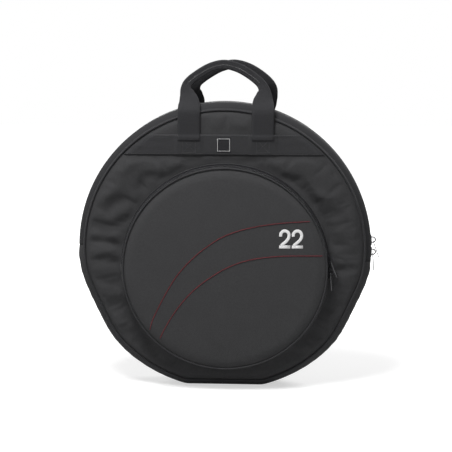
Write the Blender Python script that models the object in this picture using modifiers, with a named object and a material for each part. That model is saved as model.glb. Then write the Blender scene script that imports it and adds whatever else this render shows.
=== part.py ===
"""Round padded cymbal bag, standing on the flattened lowest part of its rim.

The bag is two padded discs joined by a rim gusset. The lower half of the rim is padded
fabric and the upper half holds a two-way zip. A round pocket with its own zip is sewn to
the front, and a webbing handle to each face. Metres, +Z up, +X right seen from the
front, front towards -Y, origin on the resting face under the middle of the bag.
"""

import math

import bmesh
import bpy
from mathutils import Matrix, Vector

# Body of the bag
OUTER_RADIUS = 0.300
FLOOR_SAG = 0.011
RIM_DEPTH = 0.070
RIM_BULGE = 0.015
RIM_FLAT = 0.036
PANEL_PUFF = 0.006
PANEL_ROLL = 0.015
SIDE_DRAW = 0.008

# Layers of the padded walls
SHELL = 0.0012
PANEL_FOAM = 0.006
RIM_FOAM = 0.005
LINING = 0.0008
FOAM_MARGIN = 0.007
FIT = 0.0003
SEAM_GAP = 0.0005
PIPING_RADIUS = 0.0022

# Front pocket
POCKET_FOOT = 0.037
POCKET_FLARE = 0.008
POCKET_DEPTH = 0.027
POCKET_DOME = 0.005
POCKET_ROLL = 0.018
POCKET_FOAM = 0.003
POCKET_FOAM_MARGIN = 0.012
POCKET_PIPING_RADIUS = 0.0018
POCKET_PLACE_X = 0.003
POCKET_DROP = 0.034

# Zips
TAPE_WIDTH = 0.0098
TAPE_THICKNESS = 0.0008
CHAIN_WIDTH = 0.011
CHAIN_THICKNESS = 0.0018
TOOTH_REACH = 0.0018
CHAIN_GAP = 0.0004
TAPE_GAP = 0.0026
END_TAB_LENGTH = 0.016
END_TAB_LAP = 0.002
END_TAB_THICKNESS = 0.0012

# Slider and pull
SLIDER_LENGTH = 0.020
SLIDER_PARTING = 0.0051
SLIDER_FROM_TAB = 0.0019
SLIDER_WALL = 0.0011
SLIDER_CLEARANCE = 0.0006
PLATE_THICKNESS = 0.0016
PLATE_CLEARANCE = 0.0003
BRIDGE_WIRE = 0.0012
BRIDGE_RADIUS = 0.0055
BRIDGE_LEG = 0.0025
BRIDGE_ROOT = 0.0008
PULL_LENGTH = 0.038
PULL_WIDTH = 0.008
PULL_TIP_WIDTH = 0.006
PULL_THICKNESS = 0.0014
EYE_RADIUS = 0.0021

# Webbing band across the panels
BAND_WIDTH = 0.042
BAND_THICKNESS = 0.0015
BAND_DROP = 0.0685
BAND_END_GAP = 0.004
LABEL_SIDE = 0.027
LABEL_THICKNESS = 0.0008
LABEL_CORNER = 0.002

# Handles
WEBBING_WIDTH = 0.045
WEBBING_THICKNESS = 0.002
GRIP_WIDTH = 0.019
GRIP_THICKNESS = 0.006
HANDLE_SPACING = 0.148
HANDLE_RISE = 0.137
HANDLE_PLACE_X = 0.0045
GRIP_SPACING = 0.016
BACK_GRIP_SHIFT = 0.019

# Piping arcs on the pocket
ARC_RADIUS = 0.0010

# Angles, in degrees from +X towards +Z
ZIP_START = -4.0
ZIP_END = 178.5
POCKET_ZIP_START = -5.0
POCKET_ZIP_END = 179.0
PULL_LEANS = (74.0, 85.0)
DRAW_START = -6.0
DRAW_END = -45.0
SHARP_ANGLE = 40.0

# Facets
ZIP_STEPS = 20
BASE_STEPS = 20
POCKET_ZIP_STEPS = 18
POCKET_BASE_STEPS = 14
TEETH_PER_STEP = 3
TUBE_SIDES = 6
WIRE_ROUNDING = 1
ARC_END_STEPS = 4
BRIDGE_STEPS = 8
EYE_STEPS = 10
PULL_HEAD_STEPS = 6
PULL_TIP_STEPS = 4
CORNER_STEPS = 2

WELD_SHARE = 0.01

# Worked out from the sizes above
CENTRE = Vector((0.0, 0.0, OUTER_RADIUS - FLOOR_SAG))
SEAM_DEPTH = RIM_DEPTH / 2
SEAM_RADIUS = OUTER_RADIUS - RIM_BULGE
PANEL_FLAT_RADIUS = SEAM_RADIUS - PANEL_ROLL
PANEL_DEPTH = SEAM_DEPTH + PANEL_PUFF
POCKET_CENTRE = CENTRE + Vector((POCKET_PLACE_X, 0.0, -POCKET_DROP))
POCKET_BASE_RADIUS = SEAM_RADIUS - POCKET_DROP - POCKET_FOOT
POCKET_RADIUS = POCKET_BASE_RADIUS - POCKET_FLARE
ZIP_WINDOW = CHAIN_WIDTH / 2 + 2 * SLIDER_CLEARANCE + SLIDER_WALL
CHAIN_TOP = CHAIN_THICKNESS - SHELL
PLATE_BOTTOM = CHAIN_TOP + PLATE_CLEARANCE
PLATE_TOP = PLATE_BOTTOM + PLATE_THICKNESS
HINGE_HEIGHT = PLATE_TOP + BRIDGE_LEG
TAPE_BOTTOM = SHELL + FIT + TAPE_THICKNESS
BAND_TOP = CENTRE.z + SEAM_RADIUS - BAND_DROP + BAND_WIDTH / 2
BAND_FRONT = PANEL_DEPTH + FIT + BAND_THICKNESS
STRAP_DEPTH = BAND_FRONT + FIT + WEBBING_THICKNESS / 2
HINGE_LEVEL = BAND_TOP + SEAM_GAP
WELD = FIT * WELD_SHARE

# Shares, chosen by hand, that shape the outlines
ROLL_SHARES = (1.0, 0.8, 0.5, 0.0)
MIDDLE_SHARE = 0.87
RIM_SHARES = (1.0, 0.8, 0.5, 0.0)
SETTLE_START_SHARE = 0.5
SETTLE_END_SHARE = 0.9
BAND_INNER_SHARE = 0.62
TOOTH_TIP_SHARE = 0.46
TOOTH_ROOT_SHARE = 0.48
TOOTH_SHIFT_SHARES = (0.25, 0.75)
PLATE_NOSE_SHARE = 0.55
PLATE_WAIST_SHARE = 0.75
UPPER_ARC_SHARES = (
    (-0.740, -0.610), (-0.699, -0.481), (-0.569, -0.223), (-0.450, -0.036), (-0.284, 0.144),
    (-0.106, 0.282), (0.013, 0.337), (0.348, 0.433), (0.598, 0.477), (0.830, 0.493),
)
LOWER_ARC_SHARES = (
    (-0.640, -0.695), (-0.569, -0.553), (-0.462, -0.385), (-0.343, -0.241), (-0.224, -0.133),
    (-0.106, -0.048), (0.013, 0.024), (0.348, 0.120), (0.598, 0.152), (0.900, 0.155), (0.955, 0.155),
)
# Each handle station: across, up, inward, share of the full width, share of the folding
HANDLE_SHARES = (
    (-1.00, 0.00, 0.00, 1.00, 0.0),
    (-1.00, 0.20, 0.00, 1.00, 0.0),
    (-1.00, 0.34, 0.04, 1.00, 0.0),
    (-1.00, 0.46, 0.36, 0.98, 0.0),
    (-1.04, 0.56, 0.62, 0.80, 0.2),
    (-1.12, 0.66, 0.80, 0.30, 0.7),
    (-1.02, 0.745, 0.92, 0.00, 1.0),
    (-0.74, 0.86, 0.98, 0.00, 1.0),
    (-0.42, 0.96, 1.00, 0.00, 1.0),
    (-0.06, 1.00, 1.00, 0.00, 1.0),
    (0.30, 0.955, 1.00, 0.00, 1.0),
    (0.62, 0.86, 0.98, 0.00, 1.0),
    (0.90, 0.745, 0.92, 0.00, 1.0),
    (1.05, 0.66, 0.80, 0.30, 0.7),
    (1.03, 0.56, 0.62, 0.80, 0.2),
    (1.00, 0.46, 0.36, 0.98, 0.0),
    (1.00, 0.34, 0.04, 1.00, 0.0),
    (1.00, 0.20, 0.00, 1.00, 0.0),
    (1.00, 0.00, 0.00, 1.00, 0.0),
)

# Finishes: colour, roughness, metallic
NYLON = ((0.040, 0.040, 0.042), 0.80, 0.0)
PADDING = ((0.30, 0.30, 0.31), 0.95, 0.0)
LINING_CLOTH = ((0.055, 0.055, 0.060), 0.85, 0.0)
WEBBING = ((0.033, 0.033, 0.035), 0.75, 0.0)
PIPING = ((0.028, 0.028, 0.030), 0.60, 0.0)
RED_PIPING = ((0.25, 0.030, 0.035), 0.55, 0.0)
ZIP_TAPE = ((0.025, 0.025, 0.027), 0.85, 0.0)
ZIP_TEETH = ((0.030, 0.030, 0.032), 0.35, 0.0)
SLIDER_METAL = ((0.060, 0.060, 0.065), 0.35, 0.9)
PULL_METAL = ((0.60, 0.60, 0.62), 0.30, 0.9)
LABEL_CLOTH = ((0.035, 0.035, 0.038), 0.70, 0.0)


def clear_scene():
    for obj in list(bpy.data.objects):
        bpy.data.objects.remove(obj, do_unlink=True)


def new_collection(name):
    collection = bpy.data.collections.new(name)
    bpy.context.scene.collection.children.link(collection)
    return collection


def new_material(name, finish):
    colour, roughness, metallic = finish
    material = bpy.data.materials.new(name)
    material.use_nodes = True
    shader = material.node_tree.nodes["Principled BSDF"]
    shader.inputs["Base Color"].default_value = (*colour, 1.0)
    shader.inputs["Roughness"].default_value = roughness
    shader.inputs["Metallic"].default_value = metallic
    return material


def add_object(name, data, finish, collection):
    """An object with its own material."""
    obj = bpy.data.objects.new(name, data)
    obj.data.materials.append(new_material(name, finish))
    collection.objects.link(obj)
    return obj


def mesh_from(bm, name):
    bmesh.ops.remove_doubles(bm, verts=bm.verts, dist=WELD)
    bmesh.ops.recalc_face_normals(bm, faces=bm.faces)
    mesh = bpy.data.meshes.new(name)
    bm.to_mesh(mesh)
    bm.free()
    mesh.shade_smooth()
    mesh.set_sharp_from_angle(angle=math.radians(SHARP_ANGLE))
    return mesh


def baked(obj):
    """A plain mesh of the object as its modifiers leave it; the object itself is removed."""
    graph = bpy.context.evaluated_depsgraph_get()
    bm = bmesh.new()
    bm.from_mesh(bpy.data.meshes.new_from_object(obj.evaluated_get(graph)))
    bm.transform(obj.matrix_world)
    mesh = mesh_from(bm, obj.name)
    bpy.data.objects.remove(obj, do_unlink=True)
    return mesh


# A section is a list of (radius, depth) points. Depth is negative towards the front.


def parabola(start, end, shares, flat_along_depth):
    """Points and outward normals of a half parabola from end, where it is flat, out to start."""
    span, drop = abs(start[0] - end[0]), abs(start[1] - end[1])
    if flat_along_depth:
        span, drop = drop, span
    found = []
    for share in shares:
        slope = 2 * drop * share / span
        if flat_along_depth:
            point = Vector((end[0] - drop * share**2, end[1] + (start[1] - end[1]) * share))
            normal = Vector((1.0, math.copysign(slope, start[1])))
        else:
            point = Vector((end[0] + span * share, end[1] + (start[1] - end[1]) * share**2))
            normal = Vector((slope, math.copysign(1.0, end[1])))
        found.append((point, normal.normalized()))
    return found


def front_seam():
    """The seam point of the body, and the direction that halves its corner."""
    point = Vector((SEAM_RADIUS, -SEAM_DEPTH))
    side = parabola(point, (OUTER_RADIUS, -RIM_FLAT / 2), RIM_SHARES[:1], True)[0][1]
    face = parabola(point, (PANEL_FLAT_RADIUS, -PANEL_DEPTH), ROLL_SHARES[:1], False)[0][1]
    return point, (side + face).normalized()


def pocket_points():
    """Base and seam points of the pocket's sloped side, and the outward normal of the slope."""
    base = Vector((POCKET_BASE_RADIUS, -PANEL_DEPTH - SEAM_GAP))
    seam = Vector((POCKET_RADIUS, -PANEL_DEPTH - POCKET_DEPTH))
    along = (seam - base).normalized()
    return base, seam, along, Vector((-along.y, along.x))


def across(direction):
    """Towards the middle of the face, square to the direction that halves a seam's corner."""
    return Vector((direction.y, -direction.x))


def layer(rows, top, bottom):
    """A closed section between two depths below a row of surface points."""
    outer = [point - normal * top for point, normal in rows]
    inner = [point - normal * bottom for point, normal in rows]
    return outer + inner[::-1]


def rim_rows(shares):
    """Surface points of the front half of the rim, from the seam to its flat middle."""
    return parabola((SEAM_RADIUS, -SEAM_DEPTH), (OUTER_RADIUS, -RIM_FLAT / 2), shares, True)


def mirrored_rows(rows):
    other = [(Vector((p.x, -p.y)), Vector((n.x, -n.y))) for p, n in reversed(rows)]
    return rows + other


def turned(angle, centre):
    """The section's plane at an angle round a centre line."""
    c, s = math.cos(math.radians(angle)), math.sin(math.radians(angle))
    return lambda point: centre + Vector((point[0] * c, point[1], point[0] * s))


def spin_section(section, centre, spans, close_section):
    """Spins a section about the bag's axis through spans of (start, end, steps)."""
    bm = bmesh.new()
    place = turned(spans[0][0], centre)
    verts = [bm.verts.new(place(point)) for point in section]
    pairs = list(zip(verts, verts[1:] + verts[:1]))
    if not close_section:
        pairs = pairs[:-1]
    geom = verts + [bm.edges.new(pair) for pair in pairs]
    for start, end, steps in spans:
        made = bmesh.ops.spin(
            bm, geom=geom, cent=centre, axis=(0.0, -1.0, 0.0),
            angle=math.radians(end - start), steps=steps,
        )
        geom = made["geom_last"]
    bmesh.ops.remove_doubles(bm, verts=bm.verts, dist=WELD)
    bmesh.ops.holes_fill(bm, edges=[e for e in bm.edges if e.is_boundary], sides=0)
    return bm


def settle(bm):
    """Lays the body on the floor, flattening its lowest part, and draws its lower sides in."""
    start = OUTER_RADIUS * SETTLE_START_SHARE
    end = OUTER_RADIUS * SETTLE_END_SHARE
    for vert in bm.verts:
        offset = vert.co - CENTRE
        radius = math.hypot(offset.x, offset.z)
        if radius == 0:
            continue
        share = min(max((radius - start) / (end - start), 0.0), 1.0)
        weight = share * share * (3 - 2 * share)
        angle = math.degrees(math.asin(offset.z / radius))
        along = min(max((angle - DRAW_START) / (DRAW_END - DRAW_START), 0.0), 1.0)
        draw = SIDE_DRAW * weight * math.sin(math.pi * along) ** 2
        vert.co.x -= draw * offset.x / radius
        lift = max(OUTER_RADIUS - radius - vert.co.z, 0.0)
        vert.co.z += lift * weight


FULL = ((ZIP_START, ZIP_END, ZIP_STEPS), (ZIP_END, ZIP_START + 360, BASE_STEPS))
POCKET_FULL = (
    (POCKET_ZIP_START, POCKET_ZIP_END, POCKET_ZIP_STEPS),
    (POCKET_ZIP_END, POCKET_ZIP_START + 360, POCKET_BASE_STEPS),
)


def part_span(span, radius):
    """One span with half a seam's gap taken off each end."""
    start, end, steps = span
    trim = math.degrees(SEAM_GAP / 2 / radius)
    return ((start + trim, end - trim, steps),)


def add_ring(name, section, centre, spans, finish, collection, disc=False, back=False):
    bm = spin_section(section, centre, spans, not disc)
    if centre == CENTRE:
        settle(bm)
    if back:
        bmesh.ops.scale(bm, vec=(1.0, -1.0, 1.0), verts=bm.verts)
    return add_object(name, mesh_from(bm, name), finish, collection)


def circle_section(centre, radius):
    turns = [2 * math.pi * n / TUBE_SIDES for n in range(TUBE_SIDES)]
    return [centre + Vector((math.cos(t), math.sin(t))) * radius for t in turns]


def panel_rows():
    """Surface points of the front panel from its seam to its middle."""
    seam, split = front_seam()
    edge = seam + across(split) * SEAM_GAP
    rows = parabola(edge, (PANEL_FLAT_RADIUS, -PANEL_DEPTH), ROLL_SHARES, False)
    rows[0] = (edge, split)
    front = Vector((0.0, -1.0))
    middle = PANEL_FLAT_RADIUS * MIDDLE_SHARE
    rows.append((Vector((middle, -PANEL_DEPTH)), front))
    rows.append((Vector((0.0, -PANEL_DEPTH)), front))
    return rows


def plate_section(front_radius, rear_radius, top, bottom):
    """A flat disc between two depths, wider at the rear than at the front."""
    middle = PANEL_FLAT_RADIUS * MIDDLE_SHARE
    outer = [(0.0, top), (middle, top), (front_radius, top)]
    return outer + [(rear_radius, bottom), (middle, bottom), (0.0, bottom)]


def make_panels(collection):
    rows = panel_rows()
    shell = layer(rows, 0.0, SHELL)[len(rows) - 1 :: -1]
    inner = [point - normal * SHELL for point, normal in rows]
    shell = shell + inner
    foam_top = -PANEL_DEPTH + SHELL + FIT
    foam_bottom = foam_top + PANEL_FOAM
    lining_top = foam_bottom + FIT
    lining_bottom = lining_top + LINING
    foam_radius = SEAM_RADIUS - FOAM_MARGIN
    seam, split = front_seam()
    piping = circle_section(seam + split * (PIPING_RADIUS + FIT), PIPING_RADIUS)
    foam = plate_section(PANEL_FLAT_RADIUS - SHELL, foam_radius, foam_top, foam_bottom)
    lining = plate_section(foam_radius, foam_radius, lining_top, lining_bottom)
    for side, back in (("front", False), ("back", True)):
        name = side + "_panel_"
        add_ring(name + "shell", shell, CENTRE, FULL, NYLON, collection, True, back)
        add_ring(name + "foam", foam, CENTRE, FULL, PADDING, collection, True, back)
        add_ring(name + "lining", lining, CENTRE, FULL, LINING_CLOTH, collection, True, back)
        add_ring(side + "_piping", piping, CENTRE, FULL, PIPING, collection, False, back)


def make_base_rim(collection):
    """The padded lower half of the rim, from one zip end down and round to the other."""
    spans = part_span(FULL[1], OUTER_RADIUS)
    rows = rim_rows(RIM_SHARES)
    split = front_seam()[1]
    rows[0] = (rows[0][0], split)
    shell = layer(mirrored_rows(rows), 0.0, SHELL)
    add_ring("base_gusset_shell", shell, CENTRE, spans, NYLON, collection)
    rows = mirrored_rows(rim_rows(RIM_SHARES[1:]))
    top = SHELL + FIT
    foam = layer(rows, top, top + RIM_FOAM)
    add_ring("base_gusset_foam", foam, CENTRE, spans, PADDING, collection)
    top += RIM_FOAM + FIT
    lining = layer(rows, top, top + LINING)
    add_ring("base_gusset_lining", lining, CENTRE, spans, LINING_CLOTH, collection)


class ZipPlace:
    """Where a zip lies: a centre line point, the way across it and the way out of it."""

    def __init__(self, prefix, centre, middle, wide, out, spans):
        self.prefix, self.centre, self.spans = prefix, centre, spans
        self.middle, self.wide, self.out = middle, wide, out

    def point(self, wide, out):
        return self.middle + self.wide * wide + self.out * out

    def matrix(self, angle):
        """A frame at an angle: X along the chain, Y across it, Z out of it."""
        place = turned(angle, Vector())
        along = place((0.0, 0.0)) + turned(angle + 90, Vector())((1.0, 0.0))
        columns = (along, place(self.wide), place(self.out))
        turn = Matrix(columns).transposed().to_4x4()
        return Matrix.Translation(turned(angle, self.centre)(self.middle)) @ turn

    def on_facets(self, share, wide, out):
        """A point at a share of the zip's steps, on the flat between two steps."""
        start, end, steps = self.spans[0]
        step = min(int(share), steps - 1)
        angles = [start + (end - start) * n / steps for n in (step, step + 1)]
        ends = [turned(a, self.centre)(self.point(wide, out)) for a in angles]
        return ends[0].lerp(ends[1], share - step)


def zip_places():
    base, seam, along, out = pocket_points()
    main = ZipPlace(
        "main_zip_", CENTRE, Vector((OUTER_RADIUS, 0.0)), Vector((0.0, -1.0)), Vector((1.0, 0.0)),
        part_span(FULL[0], OUTER_RADIUS),
    )
    pocket = ZipPlace(
        "pocket_zip_", POCKET_CENTRE, (base + seam) / 2, along, out,
        part_span(POCKET_FULL[0], POCKET_RADIUS),
    )
    return main, pocket


def make_zip_strips(collection):
    """The fabric strips on both sides of each zip."""
    main, pocket = zip_places()
    rows = rim_rows(RIM_SHARES)
    rows[0] = (rows[0][0], front_seam()[1])
    rows.append((Vector((OUTER_RADIUS, -ZIP_WINDOW)), Vector((1.0, 0.0))))
    strip = layer(rows, 0.0, SHELL)
    for side, back in (("front", False), ("back", True)):
        add_ring("zip_gusset_" + side, strip, CENTRE, main.spans, NYLON, collection, False, back)
    half = (pocket_points()[1] - pocket_points()[0]).length / 2
    for name, sign in (("pocket_gusset_rear", -1), ("pocket_gusset_fore", 1)):
        corners = ((ZIP_WINDOW, 0), (half, 0), (half, -SHELL), (ZIP_WINDOW, -SHELL))
        section = [pocket.point(sign * wide, out) for wide, out in corners]
        add_ring(name, section, POCKET_CENTRE, pocket.spans, NYLON, collection)


def make_zip_tapes(place, collection):
    top, bottom = -SHELL - FIT, -TAPE_BOTTOM
    near, far = TAPE_GAP, TAPE_GAP + TAPE_WIDTH
    for side, sign in (("front", 1), ("back", -1)):
        corners = ((near, top), (far, top), (far, bottom), (near, bottom))
        section = [place.point(sign * wide, out) for wide, out in corners]
        name = place.prefix + "tape_" + side
        add_ring(name, section, place.centre, place.spans, ZIP_TAPE, collection)


def make_teeth(place, collection):
    """Two toothed rows whose teeth pass between each other, laid along the zip's facets."""
    steps = place.spans[0][2]
    pitch = 1 / TEETH_PER_STEP
    spine = TOOTH_REACH + CHAIN_GAP
    for side, sign, shift in zip(("front", "back"), (1, -1), TOOTH_SHIFT_SHARES):
        bm = bmesh.new()

        def vert(share, wide, sign=sign, bm=bm):
            return bm.verts.new(place.on_facets(share, sign * wide, CHAIN_TOP))

        for step in range(steps):
            cell = [vert(step + 1, CHAIN_WIDTH / 2), vert(step, CHAIN_WIDTH / 2), vert(step, spine)]
            for tooth in range(TEETH_PER_STEP):
                middle = step + (tooth + shift) * pitch
                root, tip = TOOTH_ROOT_SHARE * pitch / 2, TOOTH_TIP_SHARE * pitch / 2
                cell.append(vert(middle - root, spine))
                cell.append(vert(middle - tip, -TOOTH_REACH))
                cell.append(vert(middle + tip, -TOOTH_REACH))
                cell.append(vert(middle + root, spine))
            cell.append(vert(step + 1, spine))
            bm.faces.new(cell if sign > 0 else cell[::-1])
        bmesh.ops.remove_doubles(bm, verts=bm.verts, dist=WELD)
        centre = place.centre
        for face in bm.faces:
            middle = face.calc_center_median() - centre
            if face.normal.dot(middle) < 0:
                face.normal_flip()
        name = place.prefix + "teeth_" + side
        mesh = bpy.data.meshes.new(name)
        bm.to_mesh(mesh)
        bm.free()
        obj = add_object(name, mesh, ZIP_TEETH, collection)
        wall = obj.modifiers.new("thickness", "SOLIDIFY")
        wall.thickness = CHAIN_THICKNESS
        wall.offset = -1.0


def box_mesh(low, high, name):
    bm = bmesh.new()
    low, high = Vector(low), Vector(high)
    size = high - low
    middle = Matrix.Translation((low + high) / 2)
    bmesh.ops.create_cube(bm, size=1.0, matrix=middle @ Matrix.Diagonal((*size, 1.0)))
    return mesh_from(bm, name)


def make_end_tabs(place, collection):
    """A fabric tab over each end of the chain."""
    start, end, _ = place.spans[0]
    half = ZIP_WINDOW + SLIDER_WALL
    bottom = CHAIN_TOP + FIT
    low = (-END_TAB_LENGTH / 2, -half, bottom)
    high = (END_TAB_LENGTH / 2, half, bottom + END_TAB_THICKNESS)
    shift = math.degrees((END_TAB_LENGTH / 2 - END_TAB_LAP) / place.middle.x)
    for side, angle in (("right", start - shift), ("left", end + shift)):
        name = place.prefix + "end_tab_" + side
        obj = add_object(name, box_mesh(low, high, name), NYLON, collection)
        obj.matrix_world = place.matrix(angle)


def plate_curve(name, half_length, half_width, low, high):
    """A slider plate: wide at the mouth, narrow at the tail."""
    nose, waist = PLATE_NOSE_SHARE, PLATE_WAIST_SHARE
    outline = (
        (-1.0, nose), (-waist, waist), (0.0, 1.0), (waist, 1.0), (1.0, nose),
        (1.0, -nose), (waist, -1.0), (0.0, -1.0), (-waist, -waist), (-1.0, -nose),
    )
    curve = bpy.data.curves.new(name, "CURVE")
    curve.dimensions = "2D"
    curve.fill_mode = "BOTH"
    curve.extrude = (high - low) / 2
    spline = curve.splines.new("POLY")
    spline.points.add(len(outline) - 1)
    for point, (along, wide) in zip(spline.points, outline):
        point.co = (along * half_length, wide * half_width, 0.0, 1.0)
    spline.use_cyclic_u = True
    obj = bpy.data.objects.new(name, curve)
    obj.location.z = (low + high) / 2
    return obj


def bridge_curve(name):
    """The arch over the slider that the pull turns on."""
    curve = bpy.data.curves.new(name, "CURVE")
    curve.dimensions = "3D"
    curve.bevel_depth = BRIDGE_WIRE
    curve.bevel_resolution = WIRE_ROUNDING
    curve.use_fill_caps = True
    foot = PLATE_TOP - BRIDGE_ROOT
    points = [(-BRIDGE_RADIUS, foot)]
    for step in range(BRIDGE_STEPS + 1):
        turn = math.pi * (1 - step / BRIDGE_STEPS)
        points.append((BRIDGE_RADIUS * math.cos(turn), HINGE_HEIGHT + BRIDGE_RADIUS * math.sin(turn)))
    points.append((BRIDGE_RADIUS, foot))
    spline = curve.splines.new("POLY")
    spline.points.add(len(points) - 1)
    for point, (along, out) in zip(spline.points, points):
        point.co = (along, 0.0, out, 1.0)
    return bpy.data.objects.new(name, curve)


def linked_mesh(obj, cutters):
    cutters.objects.link(obj)
    bpy.context.view_layer.update()
    return baked(obj)


def slider_mesh(cutters):
    """Top plate with its two side walls and the bridge, as one body."""
    half = SLIDER_LENGTH / 2
    inside = CHAIN_WIDTH / 2 + SLIDER_CLEARANCE
    outside = inside + SLIDER_WALL
    low = CHAIN_TOP - CHAIN_THICKNESS + PLATE_CLEARANCE
    plate = linked_mesh(
        plate_curve("slider_plate", half, outside, PLATE_BOTTOM, PLATE_TOP), cutters
    )
    body = bpy.data.objects.new("slider_body", plate)
    cutters.objects.link(body)
    wall = half * PLATE_WAIST_SHARE * PLATE_NOSE_SHARE
    root = PLATE_BOTTOM + PLATE_THICKNESS / 2
    shapes = [
        box_mesh((-wall, sign * outside - SLIDER_WALL / 2 * (1 + sign), low),
                 (wall, sign * outside + SLIDER_WALL / 2 * (1 - sign), root), "slider_wall")
        for sign in (-1, 1)
    ]
    shapes.append(linked_mesh(bridge_curve("slider_bridge"), cutters))
    for mesh in shapes:
        other = bpy.data.objects.new(mesh.name, mesh)
        cutters.objects.link(other)
        other.hide_render = True
        other.display_type = "WIRE"
        join = body.modifiers.new(mesh.name, "BOOLEAN")
        join.operation = "UNION"
        join.solver = "EXACT"
        join.object = other
    bpy.context.view_layer.update()
    return baked(body)


def pull_curve():
    """A flat tab with a round eye; its origin is the middle of the bridge's arch."""
    curve = bpy.data.curves.new("pull_tab", "CURVE")
    curve.dimensions = "2D"
    curve.fill_mode = "BOTH"
    curve.extrude = PULL_THICKNESS / 2
    half, tip = PULL_WIDTH / 2, PULL_TIP_WIDTH / 2
    far = BRIDGE_RADIUS - half + PULL_LENGTH
    outline = []
    for step in range(PULL_HEAD_STEPS + 1):
        turn = math.pi * (1 / 2 + step / PULL_HEAD_STEPS)
        outline.append((BRIDGE_RADIUS + half * math.cos(turn), half * math.sin(turn)))
    for step in range(PULL_TIP_STEPS + 1):
        turn = math.pi * (-1 / 2 + step / PULL_TIP_STEPS)
        outline.append((far - tip + tip * math.cos(turn), tip * math.sin(turn)))
    eye = [2 * math.pi * step / EYE_STEPS for step in range(EYE_STEPS)]
    hole = [(BRIDGE_RADIUS + EYE_RADIUS * math.cos(t), EYE_RADIUS * math.sin(t)) for t in eye]
    for points in (outline, hole):
        spline = curve.splines.new("POLY")
        spline.points.add(len(points) - 1)
        for point, (along, wide) in zip(spline.points, points):
            point.co = (along, wide, 0.0, 1.0)
        spline.use_cyclic_u = True
    return bpy.data.objects.new("pull_tab", curve)


def slider_angles(place):
    """Angles of the two sliders, one behind the other, beside the end tab on the right."""
    second = END_TAB_LAP + SLIDER_FROM_TAB + SLIDER_LENGTH / 2
    first = second + SLIDER_LENGTH + SLIDER_PARTING
    start = place.spans[0][0]
    return [start + math.degrees(way / place.middle.x) for way in (first, second)]


def make_sliders(collection, cutters):
    body = slider_mesh(cutters)
    tab = linked_mesh(pull_curve(), cutters)
    for place in zip_places():
        start, end, steps = place.spans[0]
        half_step = math.radians((end - start) / steps / 2)
        sag = place.middle.x * (1 - math.cos(half_step))
        top = -(TAPE_BOTTOM + sag + PLATE_CLEARANCE)
        length = SLIDER_LENGTH / 2 - SLIDER_WALL
        width = CHAIN_WIDTH / 2
        low = (-length, -width, top - PLATE_THICKNESS)
        under = box_mesh(low, (length, width, top), place.prefix + "under")
        for letter, angle, lean in zip("ab", slider_angles(place), PULL_LEANS):
            matrix = place.matrix(angle)
            name = place.prefix + "slider_" + letter
            slider = add_object(name, body.copy(), SLIDER_METAL, collection)
            slider.matrix_world = matrix
            plate = add_object(name + "_under", under.copy(), SLIDER_METAL, collection)
            plate.matrix_world = matrix
            hinge = Matrix.Translation((0.0, 0.0, HINGE_HEIGHT))
            turn = Matrix.Rotation(-math.radians(90 + lean), 4, "Y")
            pull = add_object(place.prefix + "pull_" + letter, tab.copy(), PULL_METAL, collection)
            pull.matrix_world = matrix @ hinge @ turn


def make_bands(collection):
    """A webbing band across each panel, a slice of a layer that lies on the panel."""
    limit = SEAM_RADIUS - BAND_END_GAP
    rows = [row for row in panel_rows() if row[0].x < limit and row[0].x > 0]
    inner = Vector((SEAM_RADIUS * BAND_INNER_SHARE, -PANEL_DEPTH))
    rows.append((inner, Vector((0.0, -1.0))))
    section = layer(rows, -FIT - BAND_THICKNESS, -FIT)
    low = Vector((0.0, 0.0, BAND_TOP - BAND_WIDTH))
    high = Vector((0.0, 0.0, BAND_TOP))
    for side, back in (("front", False), ("back", True)):
        bm = spin_section(section, CENTRE, FULL, True)
        for point, normal in ((low, (0.0, 0.0, -1.0)), (high, (0.0, 0.0, 1.0))):
            bmesh.ops.bisect_plane(
                bm, geom=bm.verts[:] + bm.edges[:] + bm.faces[:], plane_co=point,
                plane_no=normal, clear_outer=True,
            )
            bmesh.ops.holes_fill(bm, edges=[e for e in bm.edges if e.is_boundary], sides=0)
        if back:
            bmesh.ops.scale(bm, vec=(1.0, -1.0, 1.0), verts=bm.verts)
        add_object(side + "_band", mesh_from(bm, side), WEBBING, collection)


def make_label(collection):
    """A small woven patch, left plain, in the middle of the front band."""
    bm = bmesh.new()
    size = Matrix.Diagonal((LABEL_SIDE, LABEL_THICKNESS, LABEL_SIDE, 1.0))
    bmesh.ops.create_cube(bm, size=1.0, matrix=size)
    edges = [e for e in bm.edges if abs(e.verts[0].co.y - e.verts[1].co.y) > LABEL_THICKNESS / 2]
    bmesh.ops.bevel(
        bm, geom=edges, offset=LABEL_CORNER, segments=CORNER_STEPS, affect="EDGES"
    )
    label = add_object("label_patch", mesh_from(bm, "label_patch"), LABEL_CLOTH, collection)
    depth = BAND_FRONT + FIT + LABEL_THICKNESS / 2
    label.location = (0.0, -depth, BAND_TOP - BAND_WIDTH / 2)


def pocket_face_rows():
    """Surface points of the pocket's domed face from its seam to its middle."""
    base, seam, along, out = pocket_points()
    flat = (POCKET_RADIUS - POCKET_ROLL, seam.y - POCKET_DOME)
    face = parabola(seam, flat, ROLL_SHARES[:1], False)[0][1]
    split = (out + face).normalized()
    edge = seam + across(split) * SEAM_GAP
    rows = parabola(edge, flat, ROLL_SHARES, False)
    rows[0] = (edge, split)
    rows.append((Vector((0.0, flat[1])), Vector((0.0, -1.0))))
    return rows, seam, split


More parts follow.
